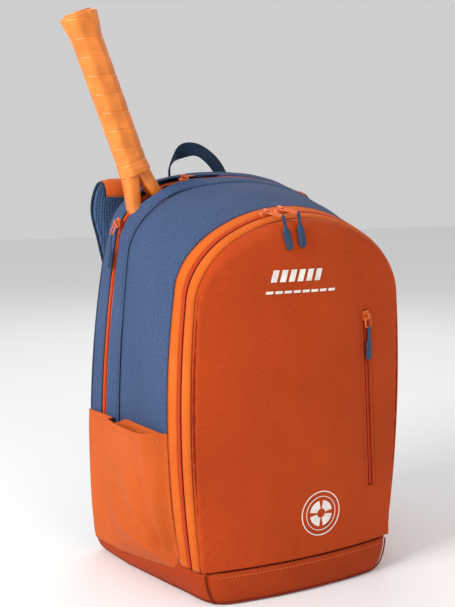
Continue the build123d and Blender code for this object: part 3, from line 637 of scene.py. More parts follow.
def front_panel():
    """The bowed front panel, rolled back at its edge to the zip tape."""
    edge = closed_front_outline(300)
    centre = np.array([0.0, 0.235])
    eased = np.sin(np.linspace(0, 1, 16)[1:] * math.pi / 2)
    shares = np.concatenate([np.linspace(0.02, 0.86, 26), 0.86 + 0.14 * eased])
    flat = np.array([centre + (edge - centre) * share for share in shares])
    gap = np.linalg.norm(flat - edge[None], axis=2)
    near_sill = smooth(edge[:, 1], BOOT_TOP + 0.001, BOOT_TOP + 0.02)[None]
    y = front_depth(flat[..., 0])
    radius = 0.006 + 0.007 * smooth(edge[:, 1], 0.34, 0.42)[None]
    drop = -roll(gap, radius * near_sill + 0.0012)
    points = np.stack([flat[..., 0], y + drop, flat[..., 1]], 2)
    _, across, _ = pocket_frame()
    from_zip = np.abs((flat[..., 0] - ZIP_TOP.x) * across.x + (flat[..., 1] - ZIP_TOP.z) * across.z)
    free = 1 - np.exp(-(from_zip / ZIP_HOLLOW) ** 2)
    points[..., 1] -= (ZIP_STAND + (CROWN - ZIP_STAND) * free) * np.clip(gap / 0.05, 0, 1)
    points[..., 1] += waves(points, 12, 0.16, 0.0008) * np.clip(gap / 0.04, 0, 1) * free
    points[..., 1] += waves(points * (1, 1, 0.5), 15, 0.04, 0.00022) * np.clip(gap / 0.03, 0, 1) * free
    run = np.cumsum(np.linalg.norm(np.diff(edge, axis=0, prepend=edge[:1]), axis=1))[None]
    pucker = np.sin(run * 6.28 / 0.021) + 0.7 * np.sin(run * 6.28 / 0.0337 + 1.3)
    points[..., 1] += 0.0004 * pucker * np.clip(gap / 0.004, 0, 1) * np.exp(-gap / 0.014)
    inner = points + (0, PANEL_THICK, 0)
    rows, cols = points.shape[:2]
    outer_count = rows * cols
    skirt_y = np.maximum(FRONT_EDGE + 0.0004, points[-1, :, 1])
    skirt = np.stack([edge[:, 0], skirt_y, edge[:, 1]], 1)
    pole_y = points[0, :, 1].mean()
    poles = [[centre[0], pole_y, centre[1]], [centre[0], pole_y + PANEL_THICK, centre[1]]]
    vertices = np.concatenate([points.reshape(-1, 3), inner.reshape(-1, 3), skirt, poles])
    index = np.arange(rows * cols).reshape(rows, cols)
    far = index + outer_count
    skirt_index = np.arange(cols) + 2 * outer_count
    outer_pole = 2 * outer_count + cols
    nxt = np.roll(index, -1, 1)
    faces = np.stack([index[:-1], index[1:], nxt[1:], nxt[:-1]], -1).reshape(-1, 4).tolist()
    fnx = np.roll(far, -1, 1)
    faces += np.stack([far[:-1], fnx[:-1], fnx[1:], far[1:]], -1).reshape(-1, 4).tolist()
    snx = np.roll(skirt_index, -1)
    faces += np.stack([index[-1], skirt_index, snx, nxt[-1]], -1).tolist()
    faces += np.stack([skirt_index, far[-1], fnx[-1], snx], -1).tolist()
    faces += [[outer_pole, int(index[0, i]), int(nxt[0, i])] for i in range(cols)]
    faces += [[outer_pole + 1, int(fnx[0, i]), int(far[0, i])] for i in range(cols)]
    uv = vertices[:, [0, 2]]
    piece = finish_mesh("front_panel_cloth", vertices, faces, ORANGE, "front_flap", uv)
    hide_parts("front_panel")
    return piece


ZIP_TOP = Vector((0.077, 0, 0.320))
ZIP_END = Vector((0.092, 0, 0.108))


def pocket_frame():
    """Direction down the pocket zip, direction across it, and its length."""
    way = (ZIP_END - ZIP_TOP).normalized()
    across = Vector((-way.z, 0, way.x))
    return way, across, (ZIP_END - ZIP_TOP).length


def cut_slot(panel):
    """Cut the pocket zip's slot through the front panel's cloth."""
    way, across, length = pocket_frame()
    middle = (ZIP_TOP + ZIP_END) / 2
    mesh = bpy.data.meshes.new("slot_cutter")
    work = bmesh.new()
    corners = []
    for y in (-0.150, -0.060):
        for a, b in ((-1, -1), (1, -1), (1, 1), (-1, 1)):
            at = middle + way * (a * (length / 2 - 0.001)) + across * (b * 0.0040)
            corners.append(work.verts.new((at.x, y, at.z)))
    for face in ((0, 1, 2, 3), (7, 6, 5, 4), (0, 4, 5, 1), (1, 5, 6, 2), (2, 6, 7, 3), (3, 7, 4, 0)):
        work.faces.new([corners[i] for i in face])
    bmesh.ops.recalc_face_normals(work, faces=work.faces)
    work.to_mesh(mesh)
    work.free()
    tool = add_object("slot_cutter", mesh)
    cut = panel.modifiers.new("slot", "BOOLEAN")
    cut.object = tool
    cut.operation = "DIFFERENCE"
    cut.solver = "EXACT"
    apply_modifier(panel, "slot")
    bpy.data.objects.remove(tool)


def pocket_line(shift, lift, count=60, shorten=0.0):
    """A line along the pocket zip, a little across and off the panel's face."""
    way, across, length = pocket_frame()
    out = []
    for s in np.linspace(shorten, length - shorten, count):
        at = ZIP_TOP + way * s + across * shift
        out.append((at.x, float(front_depth(at.x)) - ZIP_STAND - lift, at.z))
    return out


def pocket_zip():
    """Tape, coil and turned lips of the front pocket's zip."""
    facing = {"up": (0, -1, 0)}
    tape_path = pocket_line(0, -0.0026)
    flat = oval(0.0038, 0.0004, 8, 0.4)
    tape = tube("pocket_tape", tape_path, flat, COIL, "front_flap", "zip_tape", **facing)
    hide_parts("pocket_zip_tape")
    steps = 420
    width = 0.0012 * (0.75 + 0.25 * np.abs(np.sin(np.arange(steps) * math.pi / 3.5)))
    sections = np.array([oval(w, w * 0.7, 8) for w in width])
    path = pocket_line(0, -0.0015, steps, 0.002)
    teeth = tube("pocket_teeth", path, sections, COIL, "front_flap", "zip_coil", **facing)
    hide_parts("pocket_zip_coil")
    lip = oval(0.0011, 0.0008, 8)
    for side, label in ((-1, "left"), (1, "right")):
        path = pocket_line(side * 0.0047, -0.0003)
        tube(f"pocket_lip_{label}", path, lip, ORANGE, "front_flap", "orange_cloth", **facing)


panel = front_panel()
cut_slot(panel)
pocket_zip()
sill = []
for z in (0.0345, 0.0370, 0.0395, 0.0420):
    sill.append([(x, float(front_depth(x)) + 0.0026, z) for x in np.linspace(-0.118, 0.118, 60)])
cloth_piece("sill_seam", np.array(sill), 0.0008, SEAM_RED_AND_SHADE, "bag")


# ------------------------------------------------------------------ boot
def boot():
    """The coated boot: high under the front panel, low round the sides and back."""
    side_depths = np.linspace(BACK - 0.012, FRONT_EDGE + 0.006, 70)
    count_front = 90
    levels = np.concatenate([np.linspace(0, 0.010, 7), np.linspace(0.013, 0.038, 12)])
    grid = []
    for level in levels:
        inset = 0.003 * (1 - math.sqrt(1 - (1 - min(level / 0.008, 1)) ** 2))
        left = [(-half_width(d, level) + inset, d) for d in side_depths]
        corner_x = half_width(FRONT_EDGE, level) - inset
        xs = np.linspace(-corner_x + 0.006, corner_x - 0.006, count_front)
        front = [(x, float(front_depth(x)) + inset + tuck(level) * 0.5 - 0.0012) for x in xs]
        right = [(-x, y) for x, y in left[::-1]]
        rear_y = BACK_FACE - inset * 0.6
        tail_x = half_width(BACK, level) - inset
        start = [(x, rear_y) for x in np.linspace(0.004, -tail_x + 0.020, 24)]
        start += [(-tail_x + 0.008, rear_y - 0.001), (-tail_x + 0.0015, rear_y - 0.006)]
        close = [(-x, y) for x, y in start[::-1]]
        plan = np.array(start + left + front + right + close)
        grid.append(np.stack([plan[:, 0], plan[:, 1], np.full(len(plan), level)], 1))
    grid = np.array(grid)
    first, last = len(start) + len(left), len(start) + len(left) + count_front
    low, high = first - 6, last + 8
    for _ in range(22):
        before, after = grid[:, low - 1:high - 1], grid[:, low + 1:high + 1]
        grid[:, low:high] = (before + grid[:, low:high] * 2 + after) / 4
    rise = np.clip((0.085 - grid[0, :, 1]) / (0.085 - DIVIDER), 0, 1) ** 1.4
    top = SKIRT_TOP + 0.002 + (BOOT_TOP - SKIRT_TOP - 0.002) * rise
    for row, level in zip(grid, levels):
        row[:, 2] = 0.0004 + level / levels[-1] * top
    normal = normals_of(grid)
    lift = roll(top[None] - grid[..., 2] + 0.0002, 0.0025) + 0.0016
    lift += 0.0006 * np.sin(grid[..., 2] * 90) + waves(grid, 21, 0.08, 0.0004)
    grid = grid + normal * lift[..., None]
    grid[..., 2] = np.maximum(grid[..., 2], 0.0004)
    piece = cloth_piece("boot_cloth", grid, 0.0016, BOOT, "bag")
    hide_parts("boot")
    for column, label in ((first, "left"), (last - 1, "right")):
        path = grid[2:-1, column] + normal[2:-1, column] * 0.0018
        section = oval(0.0011, 0.0009, 8)
        tube(f"boot_seam_{label}", path, section, SEAM_RED_AND_SHADE, "bag", "boot_cloth", up=(0.6, -0.8, 0))
    piping = [(p[0], p[1], max(p[2], 0.0022)) for p in grid[2]]
    tube("boot_piping", piping, oval(0.0016, 0.0014, 8), SEAM_RED_AND_SHADE, "bag", "boot_cloth")
    sole = [(p[0] * 0.995, p[1] * 0.995) for p in grid[1]]
    count = len(sole)
    vertices = [(x, y, z) for z in (0.0002, 0.0048) for x, y in sole]
    faces = [list(range(count))[::-1], list(range(count, 2 * count))]
    faces += [[i, (i + 1) % count, count + (i + 1) % count, count + i] for i in range(count)]
    base = finish_mesh("base_cloth_piece", vertices, faces, BASE_CLOTH, "bag")
    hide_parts("base_panel")


boot()


# ------------------------------------------------------------------ stitching
def stitches(name, line, normal, pitch, body="bag", material=None, size=0.0006):
    """A row of short thread stitches laid along a line."""
    run = running_length(line)
    vertices, faces = [], []
    for start in np.arange(pitch, run[-1] - pitch, pitch):
        ends = []
        for at in (start, start + pitch * 0.62):
            point = np.array([np.interp(at, run, line[:, k]) for k in range(3)])
            out = np.array([np.interp(at, run, normal[:, k]) for k in range(3)])
            ends.append((point + out * 0.0002, out))
        way = ends[1][0] - ends[0][0]
        way /= np.linalg.norm(way)
        side = np.cross(way, ends[0][1])
        base = len(vertices)
        mid = (ends[0][0] + ends[1][0]) / 2 + ends[0][1] * size * 0.8
        for centre, reach in ((ends[0][0], 0.5), (mid, 1.0), (ends[1][0], 0.5)):
            for corner in range(4):
                angle = corner * math.pi / 2
                offset = side * math.cos(angle) + ends[0][1] * math.sin(angle) * 0.7
                vertices.append(centre + offset * size * reach)
        for ring in (base, base + 4):
            for a in range(4):
                b = (a + 1) % 4
                faces.append([ring + a, ring + b, ring + 4 + b, ring + 4 + a])
        faces.append([base + 3, base + 2, base + 1, base])
        faces.append([base + 8, base + 9, base + 10, base + 11])
    return finish_mesh(name, np.array(vertices), faces, material or THREAD, body)


def shell_stitch(name, depth, floor, pitch, lift, body, material):
    """A row of stitches along the shell at one depth."""
    grid = shell_grid([depth - 0.001, depth, depth + 0.001], floor, COLUMNS)
    normal = normals_of(grid)
    stitches(name, grid[1] + normal[1] * lift, normal[1], pitch, body, material, 0.00045)


# ------------------------------------------------------------------ side pockets
def pocket_offset(y, z):
    """How far the pocket's cloth stands off the shell."""
    mouth = smooth(-y, -0.058, -0.046) * smooth(y, -0.060, -0.038)
    height = 0.55 + 0.45 * smooth(z, 0.02, 0.10)
    gather = smooth(z, 0.014, 0.040)
    base = 0.0008 + 0.0046 * smooth(y, DIVIDER, DIVIDER + 0.010)
    return base + 0.0155 * mouth * height * gather


# Folds that fan from the pocket's lower corner: bearing in degrees, spread in degrees and height
FOLDS = (
    (64, 8.4, 0.0052), (79, 6.3, -0.0050), (94, 7.0, 0.0046),
    (107, 5.6, -0.0036), (46, 8.4, -0.0044), (27, 7.0, 0.0034),
)


def pocket_folds(y, z):
    """Folds that fan up from the pocket's lower front corner."""
    total = np.zeros_like(y)
    foot = (-0.050, 0.030)
    dy, dz = y - foot[0], z - foot[1]
    bearing = np.degrees(np.arctan2(dz, dy))
    reach = np.hypot(dy, dz)
    fade = smooth(reach, 0.004, 0.03) * (1 - smooth(reach, 0.085, 0.135))
    for angle, spread, size in FOLDS:
        total += size * np.exp(-((bearing - angle) / spread) ** 2) * fade
    return total


def side_pocket(side, label):
    """One side pocket: flat behind, bellied in front, with a stitched hem at its mouth."""
    ys = np.linspace(BACK - 0.003, DIVIDER - 0.0010, 96)
    zs = np.concatenate([np.linspace(0.019, 0.170, 60), np.linspace(0.172, POCKET_TOP, 10)])
    grid = np.zeros((len(zs), len(ys), 3))
    for r, z in enumerate(zs):
        for c, y in enumerate(ys):
            off = float(pocket_offset(y, z))
            grid[r, c] = (-(half_width(y, z) + off), y, z)
    y_grid, z_grid = grid[..., 1], grid[..., 2]
    held = smooth(y_grid, DIVIDER, DIVIDER + 0.010)
    fold = pocket_folds(y_grid, z_grid) * smooth(-y_grid, -0.050, -0.02) * held
    ripple = waves(grid * (1, 1, 0.6), 31 if side < 0 else 32, 0.045, 0.0008)
    fold += ripple * smooth(z_grid, 0.02, 0.05) * smooth(POCKET_TOP - z_grid, 0.0, 0.03) * held
    grid[..., 0] -= fold
    front_share = smooth(-y_grid, -0.055, -0.035)
    sag = 0.0035 * smooth(-y_grid, -0.055, -0.02) * smooth(y_grid, -0.065, -0.02)
    grid[..., 2] += (0.0052 * front_share - sag) * smooth(z_grid, 0.11, POCKET_TOP)
    foot = np.clip((0.085 - y_grid) / (0.085 - DIVIDER), 0, 1) ** 1.4 * 0.013
    grid[..., 2] += foot * (1 - smooth(z_grid, 0.015, 0.10))
    grid[..., 0] += roll(z_grid - 0.0155, 0.004) * 0.5
    if side > 0:
        grid = grid[:, ::-1] * (-1, 1, 1)
    piece = cloth_piece(f"pocket_cloth_{label}", grid, 0.0012, POCKET, "bag")
    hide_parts(f"side_pocket_{label}")
    hem = grid[-1] - normals_of(grid)[-1] * 0.0006
    section = oval(0.0012, 0.0012, 8)
    tube(f"pocket_hem_{label}", hem, section, POCKET, "bag", "orange_cloth", up=(side, 0, 0.01))
    lining = []
    for share in np.linspace(0, 1, 12):
        row = []
        for y in np.linspace(0.068, DIVIDER + 0.003, 44):
            swell = math.sin(math.pi * (y - DIVIDER) / (0.075 - DIVIDER))
            z = 0.10 + share * (0.0790 + 0.0105 * float(smooth(-y, -0.056, -0.020)))
            row.append((side * (half_width(y, z) + 0.0016 + 0.0030 * max(swell, 0) ** 0.5), y, z))
        lining.append(row if side < 0 else row[::-1])
    cloth_piece(f"pocket_lining_{label}", np.array(lining), 0.0008, POCKET, "bag")
    stitches(f"pocket_stitch_{label}", grid[-6], normals_of(grid)[-6], 0.0052)


shell_stitch("stitch_tape_rear", -0.0632, 0.042, 0.0034, 0.0004, "bag", RUST_THREAD)
shell_stitch("stitch_tape_front", -0.0930, 0.044, 0.0034, 0.0008, "front_flap", RUST_THREAD)
shell_stitch("stitch_gusset", 0.0550, 0.030, 0.0036, 0.0014, "bag", BLUE_THREAD)
shell_stitch("stitch_body", 0.0450, 0.030, 0.0036, 0.0012, "bag", BLUE_THREAD)
for shift, label in ((-0.0085, "left"), (0.0085, "right")):
    edge_line = np.array(pocket_line(shift, 0.0002, 60, -0.004))
    outward = np.tile((0.0, -1.0, 0.0), (60, 1))
    stitches(
        f"stitch_zip_{label}", edge_line, outward, 0.0034, "front_flap", RUST_THREAD, 0.00045,
    )

side_pocket(-1, "left")
side_pocket(1, "right")
boot_x = np.linspace(-0.112, 0.112, 90)
boot_line = np.array([(x, float(front_depth(x)) - 0.0024, BOOT_TOP - 0.004) for x in boot_x])
stitches("boot_stitch", boot_line, np.tile((0.0, -1.0, 0.0), (90, 1)), 0.0042)


# ------------------------------------------------------------------ prints
def raised_print(name, shapes, node):
    """Flat printed shapes laid on the bowed front; each is a loop of (x, z) points."""
    vertices, faces = [], []
    for loop in shapes:
        base = len(vertices)
        count = len(loop)
        for lift in (0.0002, 0.0007):
            for x, z in loop:
                vertices.append((x, float(front_depth(x)) - CROWN - lift, z))
        low = [base + i for i in range(count)]
        high = [i + count for i in low]
        faces += [high, low[::-1]]
        faces += [list(face) for face in zip(low, low[1:] + low[:1], high[1:] + high[:1], high)]
    piece = finish_mesh(name, np.array(vertices), faces, PRINT, "front_flap")
    piece.data.polygons.foreach_set("use_smooth", [False] * len(piece.data.polygons))
    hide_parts(node)


def ring_shapes(cx, cz, outer, inner, start=0.0, turn=360.0, parts=48):
    """A ring or part of one, as short four-sided loops."""
    shapes = []
    for i in range(parts):
        a = math.radians(start + turn * i / parts)
        b = math.radians(start + turn * (i + 1) / parts)
        corners = ((inner, a), (outer, a), (outer, b), (inner, b))
        shapes.append([(cx + r * math.cos(t), cz + r * math.sin(t)) for r, t in corners])
    return shapes



def slanted_bar(x, z, wide, high, slant):
    """One leaning bar of the generic print."""
    return [(x, z), (x + wide, z), (x + wide + slant, z + high), (x + slant, z + high)]


bars = [slanted_bar(-0.050 + 0.0108 * i, 0.357, 0.0068, 0.013, 0.0035) for i in range(6)]
thin = [slanted_bar(-0.056 + 0.0112 * i, 0.3445, 0.0084, 0.0028, 0.0008) for i in range(8)]
raised_print("print_bars", bars + thin, "front_print")
BADGE = (0.017, 0.090)
badge = ring_shapes(*BADGE, 0.0260, 0.0249, parts=64) + ring_shapes(*BADGE, 0.0200, 0.0193)
for turned in (10, 100, 190, 280):
    badge += ring_shapes(*BADGE, 0.0150, 0.0055, start=turned, turn=70, parts=12)
raised_print("badge_rings", badge, "round_badge")


# ------------------------------------------------------------------ zip rings and grips
RING_WIRE, RING_WIDE = 0.00088, 0.0106


def wire_ring(name, centre, along, side, long, body, node):
    """A closed wire loop with straight sides and round ends."""
    radius = RING_WIDE / 2 - RING_WIRE
    straight = long / 2 - RING_WIRE - radius * 0.75
    angles = np.linspace(0, 2 * math.pi, 48, endpoint=False)
    loop = []
    for a in angles:
        end = math.copysign(1, math.cos(a)) * min(1, abs(math.cos(a)) * 6)
        u = radius * 0.75 * math.cos(a) + straight * end
        loop.append(centre + along * u + side * (radius * math.sin(a)))
    up = tuple(along.cross(side))
    section = oval(RING_WIRE, RING_WIRE, 8)
    loop = [tuple(p) for p in loop]
    piece = tube(name, loop, section, ZIP_METAL, body, "slider_metal", closed=True, up=up)
    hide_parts(node)


def grip(name, start, way, side, neck, long, body, node):
    """A moulded grip: a thin neck that swells into a ribbed paddle."""
    steps = 60
    total = neck + long
    face = way.cross(side)
    path, sections = [], []
    for s in np.linspace(0, 1, steps):
        at = s * total
        paddle = float(smooth(np.array(at), neck * 0.8, neck * 1.25))
        end = math.sqrt(max(1 - max((at - total + 0.004) / 0.004, 0) ** 2, 0.02))
        root = math.sqrt(max(1 - max(1 - at / 0.002, 0) ** 2, 0.1))
        ribs = 0.00018 * math.sin(at * 2200) * paddle
        wide = (0.0019 + 0.0024 * paddle) * end * root
        thick = (0.0012 + 0.0005 * paddle + ribs) * end * root
        sections.append(oval(wide, thick, 14, 0.75))
        path.append(tuple(start + way * at))
    piece = tube(name, path, np.array(sections), GRIP, body, "grip_rubber", up=tuple(face))
    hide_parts(node)


def plane_axes(node):
    """Middle of a flat CAD piece and its long and short in-plane directions."""
    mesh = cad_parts[node].data
    points = np.array([v.co for v in mesh.vertices])
    middle = (points.max(0) + points.min(0)) / 2
    _, _, axes = np.linalg.svd(points - points.mean(0), full_matrices=False)
    return Vector(middle), Vector(axes[0]), Vector(axes[1]), points


# For each pull: its ring's length, the grip's neck and paddle, which way the ring points from its
# slider, and which way the grip hangs
DOWNWARD, TO_THE_RIGHT = Vector((0, 0, -1)), Vector((1, 0, 0))
PULLS = {
    "front_left": (0.0380, 0.013, 0.024, Vector((0, -1, 0)), DOWNWARD),
    "front_right": (0.0383, 0.013, 0.024, Vector((0, -1, 0)), DOWNWARD),
    "pocket": (0.015, 0.015, 0.022, DOWNWARD, DOWNWARD),
    "main_side": (0.017, 0.015, 0.024, DOWNWARD, DOWNWARD),
    "main_top": (0.015, 0.012, 0.022, TO_THE_RIGHT, TO_THE_RIGHT),
}


def pull_node(label, kind):
    """The CAD name of a pull's ring, grip or body: the kind goes after the first word."""
    first, _, rest = label.partition("_")
    return "_".join(word for word in (first, kind, rest) if word)


def pull(label, ring_long, neck, paddle, ring_way, grip_way):
    """One zip pull: a wire ring and the moulded grip that hangs from it."""
    body = pull_node(label, "pull")
    ring_node = pull_node(label, "ring")
    middle, along, side, _ = plane_axes(ring_node)
    along = along if along.dot(ring_way) > 0 else -along
    wire_ring(f"ring_{label}", middle, along, side, ring_long, body, ring_node)
    grip_node = pull_node(label, "grip")
    middle, along, side, points = plane_axes(grip_node)
    along = along if along.dot(grip_way) > 0 else -along
    reach = np.array([(Vector(p) - middle).dot(along) for p in points])
    start = middle + along * (reach.min() - 0.0035)
    if label == "pocket":
        start += Vector((0.0002, -0.0011, 0))
    grip(f"grip_{label}", start, along, side, neck + 0.003, paddle, body, grip_node)


for label, sizes in PULLS.items():
    pull(label, *sizes)


# ------------------------------------------------------------------ haul handle
def ribbon(name, path, wide, thick, faces_to, body, node):
    """Flat webbing along a path; faces_to gives its face's direction, or one for each point."""
    section = oval(wide / 2, thick / 2, 16, 0.35)
    piece = tube(name, path, section, WEBBING, body, "navy_webbing", up=faces_to)
    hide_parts(node)


def haul_handle():
    """A webbing loop, flat to the back at its foot on the right and turned edge-on at the left."""
    low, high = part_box("haul_handle")
    left, right = low.x + 0.002, high.x - 0.002
    y = (low.y + high.y) / 2 - 0.003
    shape = [
        (left, y, low.z + 0.002), (left - 0.001, y, low.z + 0.020), (left + 0.007, y, high.z - 0.013),
        (left + 0.022, y, high.z - 0.004), (left + 0.040, y, high.z - 0.0045),
        (right - 0.014, y, high.z - 0.017), (right - 0.001, y, low.z + 0.014),
        (right + 0.001, y, low.z + 0.002),
    ]
    path = curve_through(shape, 80)
    s = np.linspace(0, 1, 80)
    turn = 1.25 - 1.15 * smooth(s, 0.2, 0.8)
    faces_to = np.stack([np.sin(turn) * 0.9, -np.cos(turn), 0.25 * np.ones(80)], 1)
    ribbon("haul_webbing", path, 0.018, 0.0022, faces_to, "haul_handle", "haul_handle")


haul_handle()


# ------------------------------------------------------------------ shoulder straps
# The strap's edges seen from behind, as (distance from the middle, height)
STRAP_INNER = (
    (0.070, 0.500), (0.076, 0.430), (0.074, 0.380), (0.078, 0.320), (0.094, 0.240), (0.104, 0.168),
)
STRAP_OUTER = (
    (0.138, 0.500), (0.149, 0.435), (0.140, 0.385), (0.132, 0.330), (0.135, 0.240), (0.138, 0.168),
)


def strap(side, label, arch):
    """A padded strap: orange outer face, spacer mesh inside, bound edges."""
    start = BACK_FACE + 0.0036
    spine = curve_through([
        (start - 0.001, arch - 0.017), (start + 0.003, arch - 0.008), (start + 0.012, arch - 0.0015),
        (start + 0.028, arch - 0.002), (start + 0.040, arch - 0.018), (start + 0.046, arch - 0.044),
        (start + 0.044, 0.375), (start + 0.038, 0.325), (start + 0.032, 0.245), (start + 0.030, 0.176),
    ], 120)
    inner_edge = curve_through(STRAP_INNER, 90)
    outer_edge = curve_through(STRAP_OUTER, 90)
    across = np.linspace(-1, 1, 25)
    slope = np.gradient(spine, axis=0)
    slope /= np.linalg.norm(slope, axis=1, keepdims=True)
    off = np.stack([slope[:, 1], -slope[:, 0]], 1)
    rings = []
    for r, ((y, z), (oy, oz)) in enumerate(zip(spine, off)):
        a = np.interp(z, inner_edge[::-1, 1], inner_edge[::-1, 0])
        b = np.interp(z, outer_edge[::-1, 1], outer_edge[::-1, 0])
        xs = side * ((a + b) / 2 + across * (b - a) / 2)
        sewn = 0.0016 * np.exp(-(((np.abs(across) - 0.80) / 0.05) ** 2))
        thick = 0.0050 * np.sqrt(np.clip(1 - np.abs(across) ** 5, 0, 1)) + 0.0005 - sewn
        thick = thick * min(1, (r + 3) / 9, (122 - r) / 6)
        front = np.stack([xs, y - oy * thick, z - oz * thick], 1)
        back = np.stack([xs, y + oy * thick, z + oz * thick], 1)
        rings.append(np.concatenate([front, back[::-1]]))
    rings = np.array(rings)
    around = rings.shape[1]
    index = np.arange(len(rings) * around).reshape(len(rings), around)
    faces = ring_faces(index)
    faces += [index[0, ::-1].tolist(), index[-1].tolist()]
    if side < 0:
        faces = [face[::-1] for face in faces]
    run = np.linspace(0, 0.36, len(rings))[:, None] * np.ones((1, around))
    uv = np.stack([rings[..., 0], run], 2).reshape(-1, 2)
    piece = finish_mesh(f"strap_{label}", rings.reshape(-1, 3), faces, POCKET, "bag", uv)
    piece.data.materials.append(SPACER)
    half = around // 2
    is_mesh = [half - 1 <= column < around - 1 for column in range(around)] * (len(rings) - 1)
    for polygon, value in zip(piece.data.polygons, is_mesh):
        polygon.material_index = int(value)
    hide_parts(f"shoulder_strap_{label}")
    for column, edge in ((0, "inner"), (half - 1, "outer")):
        middle = (rings[:, column] + rings[:, around - 1 - column]) / 2
        name, section = f"strap_binding_{edge}_{label}", oval(0.0019, 0.0019, 8)
        tube(name, middle, section, WEBBING, "bag", "navy_webbing", up=(1, 0.2, 0.1))


strap(-1, "left", 0.462)
strap(1, "right", 0.446)

for side, label in ((-1, "left"), (1, "right")):
    low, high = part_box(f"lower_webbing_{label}")
    x = (low.x + high.x) / 2
    line = curve_through([
        (x, high.y - 0.0012, high.z - 0.001), (x, 0.138, 0.110), (x, 0.1275, 0.066),
        (x, 0.1202, low.z + 0.001),
    ], 50)
    ribbon(f"webbing_{label}", line, 0.0245, 0.0018, (0, 1, 0), "bag", f"lower_webbing_{label}")


# ------------------------------------------------------------------ back pads
PAD_VOXEL, PAD_PRESSURE, PAD_CAP, PAD_FRAMES = 0.005, 4.0, 0.006, 20
CHANNEL_PITCH = 0.055


def back_pad(name, x, z, wide, high, thick, nodes=()):
    """A padded block of spacer mesh, puffed by a pressure simulation."""
    work = bmesh.new()
    bmesh.ops.create_cube(work, size=1.0)
    for vertex in work.verts:
        across, out, up = vertex.co
        place = (x + across * wide, BACK_FACE + 0.0005 + (out + 0.5) * thick, z + up * high)
        vertex.co = Vector(place)
    corners = [e for e in work.edges if abs(e.verts[0].co.y - e.verts[1].co.y) > thick / 2]
    bmesh.ops.bevel(work, geom=corners, offset=wide * 0.3, segments=6, profile=0.5, affect="EDGES")
    mesh = bpy.data.meshes.new(name)
    work.to_mesh(mesh)
    work.free()
    obj = add_object(name, mesh)
    remesh = obj.modifiers.new("voxels", "REMESH")
    remesh.mode = "VOXEL"
    remesh.voxel_size = PAD_VOXEL
    apply_modifier(obj, "voxels")
    start = np.array([v.co for v in obj.data.vertices])
    sim = obj.modifiers.new("puff", "CLOTH")
    sim.settings.use_pressure = True
    sim.settings.uniform_pressure_force = PAD_PRESSURE
    sim.settings.effector_weights.gravity = 0.0
    for number in range(1, PAD_FRAMES + 1):
        bpy.context.scene.frame_set(number)
    solved = obj.evaluated_get(bpy.context.evaluated_depsgraph_get())
    moved = np.array([v.co for v in solved.data.vertices])
    obj.modifiers.remove(sim)
    bpy.context.scene.frame_set(1)
    shift = moved - start
    size = np.linalg.norm(shift, axis=1, keepdims=True)
    start = start + shift * np.minimum(1, PAD_CAP / np.maximum(size, 1e-9))
    start[:, 1] = np.maximum(start[:, 1], BACK_FACE + 0.0004)
    for channel in np.arange(z - high / 2 + CHANNEL_PITCH, z + high / 2 - 0.03, CHANNEL_PITCH):
        groove = np.exp(-(((start[:, 2] - channel) / 0.004) ** 2))
        outside = smooth(start[:, 1], BACK_FACE + thick * 0.5, BACK_FACE + thick)
        start[:, 1] -= 0.0035 * groove * outside
    obj.data.vertices.foreach_set("co", start.astype(np.float32).ravel())
    obj.data.polygons.foreach_set("use_smooth", [True] * len(obj.data.polygons))
    lay_uv(obj.data, start[:, [0, 2]])
    obj.data.materials.append(SPACER)
    detail = obj.modifiers.new("detail", "SUBSURF")
    detail.levels = detail.render_levels = 1
    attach(obj, "bag")
    if nodes:
        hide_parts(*nodes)


back_pad("back_pad_left", -0.066, 0.238, 0.078, 0.318, 0.008, ("back_pads",))
back_pad("back_pad_right", 0.066, 0.238, 0.078, 0.318, 0.008)
back_pad("back_pad_low", 0.0, 0.070, 0.030, 0.055, 0.008)


# ------------------------------------------------------------------ racket
LEAN = math.radians(20.6)
DOWN = Vector((math.sin(LEAN), 0, -math.cos(LEAN)))
ACROSS = Vector((math.cos(LEAN), 0, math.sin(LEAN)))
COLLAR = Vector((-0.124, 0.084, 0.477))


def on_racket(across, down, front=0.0):
    """A point in the racket's own plane: across it, down from the collar, and to the front."""
    return COLLAR + ACROSS * across + DOWN * down + Vector((0, -front, 0))


def racket_frame():
    """Hoop, throat arms and bridge as smooth tubes."""
    middle, wide, long = 0.322, 0.129 - 0.0055, 0.170 - 0.0055
    angles = np.linspace(0, 2 * math.pi, 160, endpoint=False)
    hoop = [tuple(on_racket(wide * math.sin(a), middle + long * math.cos(a))) for a in angles]
    section = oval(0.0054, 0.0113, 16, 0.8)
    piece = tube("racket_hoop", hoop, section, RACKET, "racket", "racket_paint", closed=True, up=(0, 1, 0))
    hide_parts("racket_frame")
    for sign, label in ((-1, "left"), (1, "right")):
        line = curve_through([
            (sign * 0.0075, -0.006), (sign * 0.0085, 0.008), (sign * 0.0140, 0.030), (sign * 0.0215, 0.055),
            (sign * 0.0340, 0.088), (sign * 0.054, 0.133), (sign * 0.0785, 0.184),
        ], 90)
        path = [tuple(on_racket(a, d)) for a, d in line]
        share = np.linspace(0, 1, 90)
        wide = 0.0092 - 0.0034 * smooth(share, 0.02, 0.35)
        sections = np.array([oval(w, 0.0124 - 0.0010 * t, 24, 0.5) for w, t in zip(wide, share)])
        tube(f"racket_arm_{label}", path, sections, RACKET, "racket", "racket_paint", up=(0, 1, 0))


def octagon(wide, thick, bevel, count=48):
    """The racket handle's eight-sided section with softened corners, as (across, front)."""
    a, b, c = wide / 2, thick / 2, bevel
    corners = np.array([
        (a, -b + c), (a, b - c), (a - c, b), (-a + c, b),
        (-a, b - c), (-a, -b + c), (-a + c, -b), (a - c, -b),
    ])
    points = evenly(np.concatenate([corners, corners[:1]]), count, ends=False)
    return (np.roll(points, 1, 0) + 4 * points + np.roll(points, -1, 0)) / 6


